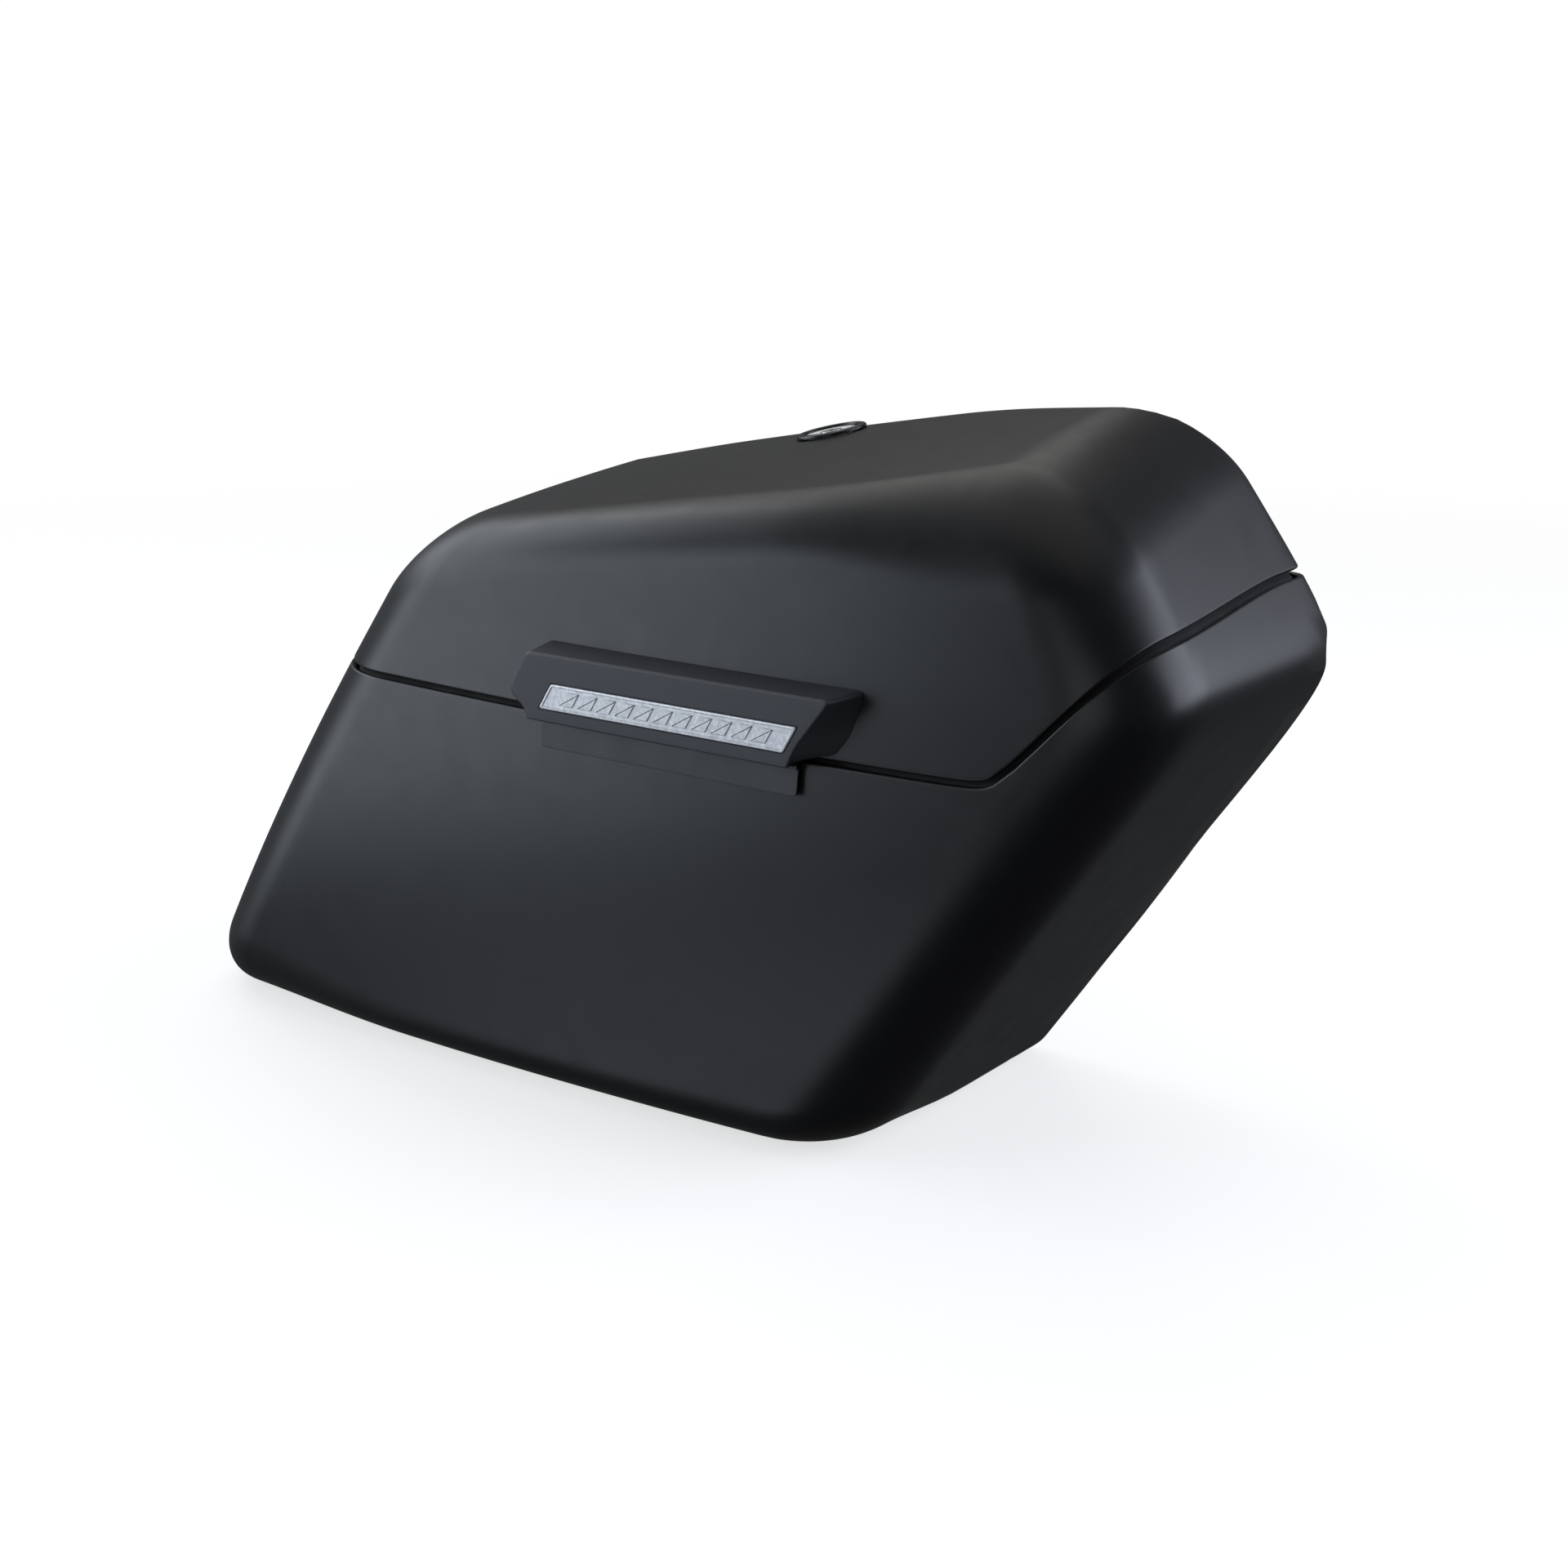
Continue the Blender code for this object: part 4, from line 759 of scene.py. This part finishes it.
def build_base_leaf():
    """Lower leaf: a thin plate with rounded lower corners and softened edges."""
    low_z, high_z = BASE_LEAF_Z
    edge = outline(rectangle(*LEAF_X, low_z, high_z), (0.0024, 0.0024, 0.0012, 0.0012), 6, 10)

    low_y, high_y = face_y(LEAF_SEAT_X, low_z) - CLEARANCE, face_y(LEAF_SEAT_X, high_z) - CLEARANCE

    def under(x, z):
        return low_y + (high_y - low_y) * (z - low_z) / (high_z - low_z)

    levels = ((0.0, 0.0), (0.0, LEAF_T - 0.0004), (0.0001, LEAF_T - 0.00015), (0.0004, LEAF_T))
    mesh, _ = loops_mesh([at_depth(inset(edge, move), lambda x, z, rise=rise: under(x, z) - rise)
                          for move, rise in levels])
    bmesh.ops.recalc_face_normals(mesh, faces=mesh.faces)
    leaf = mesh_object("base_leaf_fine", mesh)
    pitch = (LEAF_X[1] - LEAF_X[0]) / KNUCKLES
    for index in range(0, KNUCKLES, 2):
        low = LEAF_X[0] + pitch * index + 0.5 * KNUCKLE_GAP
        high = low + pitch - KNUCKLE_GAP
        apply_boolean(leaf, rod((low, HINGE_Y, HINGE_Z), (high, HINGE_Y, HINGE_Z), KNUCKLE_R), "UNION")
        web = bmesh.new()
        bmesh.ops.create_cube(web, size=1.0)
        near, far = Vector((low, HINGE_Y + 0.0012, 0.2030)), Vector((high, HINGE_Y + 0.0034, HINGE_Z))
        bmesh.ops.scale(web, vec=far - near, verts=web.verts)
        bmesh.ops.translate(web, vec=0.5 * (far + near), verts=web.verts)
        apply_boolean(leaf, mesh_object("web", web), "UNION")
    bore = rod((LEAF_X[0] - 0.01, HINGE_Y, HINGE_Z), (LEAF_X[1] + 0.01, HINGE_Y, HINGE_Z), PIN_R + CLEARANCE)
    apply_boolean(leaf, bore)
    level_normals(leaf)
    stand_for(leaf, "hinge_base_leaf", "case", "black_steel", POWDER)


# --------------------------------------------------------------------- lock

def build_lock():
    """Lock on top of the lid: bezel, button with its insert, and the key plug."""
    bezel = rounded_profile((
        (0.0149, 0.0004, 0.0), (0.0192, 0.0004, 0.0003), (0.0194, 0.0014, 0.0006), (0.0188, 0.0022, 0.0006),
        (0.0174, 0.0026, 0.0006), (0.0158, 0.0026, 0.0005), (0.0149, 0.0018, 0.0005)), 5)
    stand_for(turned("bezel_ring", bezel, LOCK, 128), "lock_bezel", "lid", "black_steel", BEZEL)
    cap = rounded_profile((
        (0.0, -0.0260, 0.0), (0.0047, -0.0260, 0.0004), (0.0047, -0.0120, 0.0003),
        (0.0142, -0.0120, 0.0004), (0.0142, 0.0012, 0.0006), (0.0080, 0.0013, 0.0003),
        (0.0077, 0.0010, 0.0002), (0.0071, 0.0010, 0.0002), (0.0068, 0.0013, 0.0003),
        (0.0062, 0.0013, 0.0002), (0.0062, -0.0095, 0.0), (0.0, -0.0095, 0.0)), 4)
    stand_for(turned("button_cap", cap, LOCK, 128), "push_button", "button", "cast_silver", INSERT)
    plug = rounded_profile(
        ((0.0, -0.0092, 0.0), (PLUG_R, -0.0092, 0.0003), (PLUG_R, 0.0017, 0.0006), (0.0, 0.0017, 0.0)), 4)
    barrel = turned("key_barrel", plug, LOCK, 96)
    for half_length, half_width, bottom in ((0.0038, 0.0006, -0.0012), (0.0046, 0.0013, 0.0013)):
        slot_edge = outline(rectangle(-half_length, half_length, -half_width, half_width), 0.0005, 3, 2)
        loops = [[LOCK @ Vector((p.x, p.y, level)) for p in slot_edge] for level in (bottom, 0.0060)]
        mesh, _ = loops_mesh(loops)
        bmesh.ops.recalc_face_normals(mesh, faces=mesh.faces)
        apply_boolean(barrel, mesh_object("slot", mesh))
    stand_for(barrel, "key_plug", "key", "zinc_plated_steel", ZINC)


def build_button_spring():
    """Coil spring between the housing's floor and the button."""
    radius, wire_r, floor, rise, turns, steps = 0.0098, 0.0005, -0.0172, 0.0044, 3, 36
    curve = bpy.data.curves.new("coil", "CURVE")
    curve.dimensions = "3D"
    curve.bevel_depth, curve.bevel_resolution, curve.use_fill_caps = wire_r, 3, True
    spline = curve.splines.new("POLY")
    spline.points.add(turns * steps)
    for index, point in enumerate(spline.points):
        angle = 2.0 * math.pi * index / steps
        height = floor + rise * index / (turns * steps)
        point.co = (*(LOCK @ Vector((radius * math.cos(angle), radius * math.sin(angle), height))), 1.0)
    wire = link(bpy.data.objects.new("coil", curve))
    mesh = bmesh.new()
    depsgraph = bpy.context.evaluated_depsgraph_get()
    mesh.from_mesh(bpy.data.meshes.new_from_object(wire.evaluated_get(depsgraph)))
    bmesh.ops.remove_doubles(mesh, verts=mesh.verts, dist=0.00001)
    bpy.data.objects.remove(wire)
    spring = mesh_object("button_coil", mesh)
    stand_for(spring, "button_spring", "lid", "zinc_plated_steel", SPRING)
    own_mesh(spring)


# ---------------------------------------------------------------- fasteners

def hex_recess(point, direction, across, depth, top):
    """Six-sided cutter into a screw head."""
    place = place_at(point, direction)
    radius = across / math.sqrt(3.0)
    hexagon = [(radius * math.cos(math.pi * k / 3.0), radius * math.sin(math.pi * k / 3.0)) for k in range(6)]
    mesh, _ = loops_mesh([[place @ Vector((x, y, z)) for x, y in hexagon] for z in (depth, top)])
    bmesh.ops.recalc_face_normals(mesh, faces=mesh.faces)
    return mesh_object("recess", mesh)


def button_screw(name, node, body, point, inward, head_r, head_h, shank_r, length):
    """Button-head screw with a hex recess: the underside of its head at a point, its shank inward."""
    outward = -Vector(inward)
    profile = rounded_profile((
        (0.0, -length, 0.0), (shank_r, -length, 0.0003), (shank_r, 0.0, 0.0), (head_r, 0.0, 0.0002),
        (head_r, 0.35 * head_h, 0.3 * head_h), (0.66 * head_r, head_h, 0.4 * head_h), (0.0, head_h, 0.0)), 5)
    screw = turned(name, profile, place_at(point, outward), 48)
    apply_boolean(screw, hex_recess(point, outward, 0.8 * head_r, 0.35 * head_h, 2.0 * head_h))
    stand_for(screw, node, body, "zinc_plated_steel", ZINC)


def bolt_profile(length):
    """Turned outline of a button-head bolt: plain end, thread grooves, shank and head."""
    root, tip = BOLT_R - 0.0004, BOLT_R - 0.0006
    start = length - 0.017
    threads = []
    for turn in range(THREAD_TURNS):
        base = -(start + THREAD_PITCH * (THREAD_TURNS - 1 - turn)) - 0.0013
        threads += [(BOLT_R, base), (root, base + 0.45 * THREAD_PITCH), (root, base + 0.55 * THREAD_PITCH)]
    return rounded_profile(((0.0, -length, 0.0), (tip, -length, 0.0))) + threads + rounded_profile((
        (BOLT_R, 0.0, 0.0), (0.0075, 0.0, 0.0), (0.0075, 0.0016, 0.0006), (0.0060, 0.0042, 0.0012),
        (0.0, 0.0042, 0.0)), 4)


def build_mounting():
    """Mounting bolts with washers inside, and rubber spacers outside."""
    wall = INNER_Y - WALL - CLEARANCE
    seat = wall - BACKING_T - CLEARANCE
    head = seat - WASHER_T - CLEARANCE
    washer_profile = rounded_profile((
        (BOLT_HOLE_R, 0.0, 0.0003), (WASHER_R, 0.0, 0.0003), (WASHER_R, WASHER_T, 0.0005),
        (BOLT_HOLE_R, WASHER_T, 0.0003)), 3)
    groove = SPACER_R - 0.0006
    spacer_profile = rounded_profile((
        (BOLT_HOLE_R, 0.0, 0.0003), (SPACER_R, 0.0, 0.0006), (SPACER_R, 0.0018, 0.0003),
        (groove, 0.0022, 0.0003), (groove, 0.0028, 0.0003), (SPACER_R, 0.0032, 0.0003),
        (SPACER_R, SPACER_T, 0.0008), (BOLT_HOLE_R, SPACER_T, 0.0006)), 3)
    for number, (x, z) in enumerate(MOUNTS, 1):
        washer = turned(f"washer_{number}", washer_profile, place_at((x, seat, z), (0, -1, 0)), 64)
        stand_for(washer, f"mounting_washer_{number}", "case", "zinc_plated_steel", ZINC)
        profile = bolt_profile(INNER_Y + SPACER_T + BOLT_OUT - head)
        bolt = turned(f"bolt_{number}", profile, place_at((x, head, z), (0, -1, 0)), 48)
        apply_boolean(bolt, hex_recess((x, head, z), (0, -1, 0), 0.005, 0.0016, 0.008))
        stand_for(bolt, f"mounting_bolt_{number}", "case", "zinc_plated_steel", ZINC)
        outside = place_at((x, INNER_Y + CLEARANCE, z), (0, 1, 0))
        spacer = turned(f"spacer_{number}", spacer_profile, outside, 64)
        stand_for(spacer, f"mounting_spacer_{number}", "case", "black_rubber", RUBBER)


def build_screws():
    """Finer screws for the hinge, the cover and the striker."""
    for number, x in enumerate(HINGE_SCREW_X, 1):
        head = face_y(x, BASE_SCREW_Z) + WALL + 0.0008
        button_screw(f"base_screw_{number}", f"hinge_base_screw_{number}", "case", (x, head, BASE_SCREW_Z),
                     (0, -1, 0), 0.0028, 0.0018, SCREW_R, WALL + 0.0018)
        head = face_y(LEAF_SEAT_X, LID_SCREW_Z) - LEAF_T - 0.0011
        button_screw(f"lid_screw_{number}", f"hinge_lid_screw_{number}", "lid", (x, head, LID_SCREW_Z),
                     (0, 1, 0), 0.0030, 0.0018, SCREW_R, 0.008)
    for number, (x, z) in enumerate(COVER_SCREWS, 1):
        head = face_y(x, z) + WALL + 0.0014
        button_screw(f"inner_screw_{number}", f"cover_screw_{number}", "lid", (x, head, z),
                     (0, -1, 0), 0.0030, 0.0018, SCREW_R, 0.0100)
    head = INNER_Y - WALL - STRIKER_T - 2.0 * CLEARANCE
    for number, x in enumerate(STRIKER_SCREW_X, 1):
        button_screw(f"catch_screw_{number}", f"striker_screw_{number}", "case", (x, head, STRIKER_Z),
                     (0, 1, 0), 0.0032, 0.0020, SCREW_R, 0.0058)


def build_floor():
    """Ribbed rubber mat on the floor of the bag and the drain plug."""
    edge = outline(MAT_OUTLINE, 0.012, 8, 24)
    bottom, top, rib = WALL + CLEARANCE, WALL + 0.0016, WALL + 0.0023
    loops = [[(p.x, p.y, level) for p in inset(edge, move)]
             for move, level in ((0.0, bottom), (0.0, top - 0.0003), (0.0004, top))]
    mesh, grid = loops_mesh(loops, cap=False)
    rings = []
    hole = [Vector((DRAIN[0] + DRAIN_CLEAR_R * math.cos(a), DRAIN[1] + DRAIN_CLEAR_R * math.sin(a)))
            for a in np.linspace(0.0, 2.0 * math.pi, 48, endpoint=False)]
    hole_top = [mesh.verts.new((p.x, p.y, top)) for p in hole]
    hole_low = [mesh.verts.new((p.x, p.y, bottom)) for p in hole]
    join_rings(mesh, (hole_top, hole_low))
    for index in range(RIB_COUNT):
        y = RIB_START_Y + RIB_PITCH * index
        spans = (RIB_X,)
        if abs(y) < DRAIN_CLEAR_R + 0.0025:
            spans = ((RIB_X[0], DRAIN[0] - 0.015), (DRAIN[0] + 0.015, RIB_X[1]))
        for left, right in spans:
            shape = outline(rectangle(left, right, y - RIB_HALF, y + RIB_HALF), 0.0015, 4, 3)
            levels = [[mesh.verts.new((p.x, p.y, level)) for p in inset(shape, move)]
                      for move, level in ((0.0, top), (0.0003, rib - 0.0002), (0.0007, rib))]
            join_rings(mesh, levels)
            mesh.faces.new(levels[-1])
            rings.append(levels[0])
    fill_between(mesh, [grid[-1], hole_top, *rings])
    fill_between(mesh, [grid[0], hole_low])
    bmesh.ops.recalc_face_normals(mesh, faces=mesh.faces)
    stand_for(mesh_object("ribbed_mat", mesh), "floor_mat", "case", "black_rubber", RUBBER)
    plug = rounded_profile((
        (0.0, 0.0003, 0.0), (0.0056, 0.0003, 0.0006), (0.0056, WALL + 0.0003, 0.0),
        (0.0095, WALL + 0.0003, 0.0004), (0.0095, WALL + 0.0015, 0.0008), (0.0060, WALL + 0.0035, 0.0012),
        (0.0, WALL + 0.0035, 0.0)), 4)
    piece = turned("drain_stopper", plug, Matrix.Translation((*DRAIN, 0.0)), 64)
    stand_for(piece, "drain_plug", "case", "black_rubber", RUBBER)


def soften(node):
    """Small bevels on the edges of a CAD node."""
    weld = node.modifiers.new("weld", "WELD")
    weld.merge_threshold = 0.00001
    soft = node.modifiers.new("soft_edges", "BEVEL")
    soft.width = 0.0003
    soft.segments = 2
    soft.limit_method = "ANGLE"
    soft.angle_limit = math.radians(35.0)
    soft.harden_normals = False


def dress_cad_nodes():
    """Finishes for the CAD nodes that are shown as they are, and softened edges on the angular ones."""
    angular = {"hinge_lid_leaf": POWDER, "backing_plate": POWDER, "lock_nut": ZINC, "latch_bracket": ZINC,
               "latch_hook": ZINC, "striker": ZINC}
    plain = {"hinge_pin": ZINC, "lock_housing": ZINC, "latch_pin": ZINC, "latch_spring": SPRING}
    for name, finish in (angular | plain).items():
        node = NODES[name]
        for slot in node.material_slots:
            slot.link = "OBJECT"
            slot.material = finish
        if not node.material_slots:
            node.data.materials.append(finish)
        if name in angular:
            soften(node)


# ------------------------------------------------------------ light and camera

LIGHT_AIM = Vector((0.0, 0.0, 0.17))
FLOOR_R, FLOOR_FADE = 3.2, (0.45, 2.2)
CAMERA_PLACE, CAMERA_TURN, CAMERA_TILT, CAMERA_LENS = (0.7847, -1.0071, 0.5072), 36.1, 15.65, 56.25


def direction_from(azimuth, elevation):
    """Unit vector at two angles in degrees."""
    turn, tilt = math.radians(azimuth), math.radians(elevation)
    return Vector((math.cos(turn) * math.cos(tilt), math.sin(turn) * math.cos(tilt), math.sin(tilt)))


def area_light(name, azimuth, elevation, distance, size, radiance, color):
    """Softbox at a direction from the middle of the bag, facing it."""
    data = bpy.data.lights.new(name, "AREA")
    data.shape = "RECTANGLE"
    data.size, data.size_y = size
    data.energy = radiance * math.pi * size[0] * size[1]
    data.color = color
    lamp = link(bpy.data.objects.new(name, data))
    direction = direction_from(azimuth, elevation)
    lamp.location = LIGHT_AIM + direction * distance
    lamp.rotation_mode = "QUATERNION"
    lamp.rotation_quaternion = (-direction).to_track_quat("-Z", "Y")


def build_studio_floor():
    """Pale floor that fades into the white surround. Only the camera sees it."""
    mesh = bmesh.new()
    bmesh.ops.create_circle(mesh, cap_ends=True, segments=96, radius=FLOOR_R)
    bmesh.ops.translate(mesh, verts=mesh.verts, vec=(0.0, 0.0, -0.0005))
    floor = mesh_object("studio_floor", mesh, shift=None)
    made, tree, shader = new_material("floor_paper")
    coords = tree.nodes.new("ShaderNodeTexCoord").outputs["Object"]
    length = tree.nodes.new("ShaderNodeVectorMath")
    length.operation = "LENGTH"
    tree.links.new(coords, length.inputs[0])
    mottle = noise_node(tree, coords, 4.0, 2.0)
    tree.links.new(mixed(tree, mottle, (0.60, 0.60, 0.60), (0.63, 0.63, 0.63)), shader.inputs["Base Color"])
    shader.inputs["Roughness"].default_value = 0.30
    shader.inputs["Emission Color"].default_value = (1.0, 1.0, 1.0, 1.0)
    shader.inputs["Emission Strength"].default_value = 0.66
    clear = tree.nodes.new("ShaderNodeBsdfTransparent")
    blend = tree.nodes.new("ShaderNodeMixShader")
    tree.links.new(ranged(tree, length.outputs["Value"], 0.0, 1.0, *FLOOR_FADE), blend.inputs["Fac"])
    tree.links.new(shader.outputs["BSDF"], blend.inputs[1])
    tree.links.new(clear.outputs["BSDF"], blend.inputs[2])
    output = next(node for node in tree.nodes if node.type == "OUTPUT_MATERIAL")
    tree.links.new(blend.outputs["Shader"], output.inputs["Surface"])
    dress(floor, made)
    floor.visible_glossy = floor.visible_diffuse = floor.visible_shadow = False


def build_surround():
    """White behind the bag for the camera. Reflections see a dim room, darkest on the side of the camera."""
    world = bpy.data.worlds.new("studio")
    bpy.context.scene.world = world
    world.use_nodes = True
    tree = world.node_tree
    tree.nodes.clear()
    output = tree.nodes.new("ShaderNodeOutputWorld")
    seen = tree.nodes.new("ShaderNodeBackground")
    seen.inputs["Color"].default_value = (1.0, 1.0, 1.0, 1.0)
    room = tree.nodes.new("ShaderNodeBackground")
    path = tree.nodes.new("ShaderNodeLightPath")
    choose = tree.nodes.new("ShaderNodeMixShader")
    tree.links.new(path.outputs["Is Camera Ray"], choose.inputs["Fac"])
    tree.links.new(room.outputs["Background"], choose.inputs[1])
    tree.links.new(seen.outputs["Background"], choose.inputs[2])
    tree.links.new(choose.outputs["Shader"], output.inputs["Surface"])
    coords = tree.nodes.new("ShaderNodeTexCoord").outputs["Generated"]
    dot = tree.nodes.new("ShaderNodeVectorMath")
    dot.operation = "DOT_PRODUCT"
    dot.inputs[1].default_value = (-0.50, 0.69, 0.52)
    tree.links.new(coords, dot.inputs[0])
    tree.links.new(ranged(tree, dot.outputs["Value"], 0.04, 0.14, -0.2, 0.9), room.inputs["Strength"])
    room.inputs["Color"].default_value = (0.96, 0.98, 1.0, 1.0)


def build_lights():
    """Large softboxes, and weaker ones that fill the far side, the rounded corner and the foot."""
    area_light("key_softbox", -141.0, 12.0, 2.2, (2.1, 1.8), 2.55, (0.81, 0.90, 1.0))
    area_light("low_softbox", -117.0, -33.0, 2.2, (1.7, 1.2), 0.9, (0.82, 0.90, 1.0))
    area_light("rear_softbox", 30.0, 19.0, 2.1, (1.9, 1.6), 3.9, (0.81, 0.87, 1.0))
    area_light("far_softbox", 178.0, 32.0, 2.2, (1.3, 1.2), 2.3, (0.85, 0.92, 1.0))
    area_light("fill_softbox", -73.0, 10.0, 2.4, (1.2, 1.8), 0.95, (0.90, 0.95, 1.0))
    area_light("top_softbox", 136.0, 50.0, 2.2, (2.0, 1.2), 1.1, (1.0, 0.98, 0.94))
    area_light("roof_softbox", 90.0, 88.0, 2.4, (2.4, 2.0), 0.35, (1.0, 0.99, 0.96))


def build_camera():
    """Camera at the photograph's place."""
    data = bpy.data.cameras.new("camera")
    data.lens, data.sensor_width = CAMERA_LENS, 36.0
    camera = link(bpy.data.objects.new("camera", data))
    forward = direction_from(90.0 + CAMERA_TURN, -CAMERA_TILT)
    camera.location = CAMERA_PLACE
    camera.rotation_mode = "QUATERNION"
    camera.rotation_quaternion = forward.to_track_quat("-Z", "Y")
    bpy.context.scene.camera = camera


bpy.context.scene.view_settings.view_transform = "Standard"
build_camera()
build_studio_floor()
build_surround()
build_lights()
build_shells()
build_seal()
build_cover()
build_plate()
build_base_leaf()
build_lock()
build_button_spring()
build_mounting()
build_screws()
build_floor()
dress_cad_nodes()
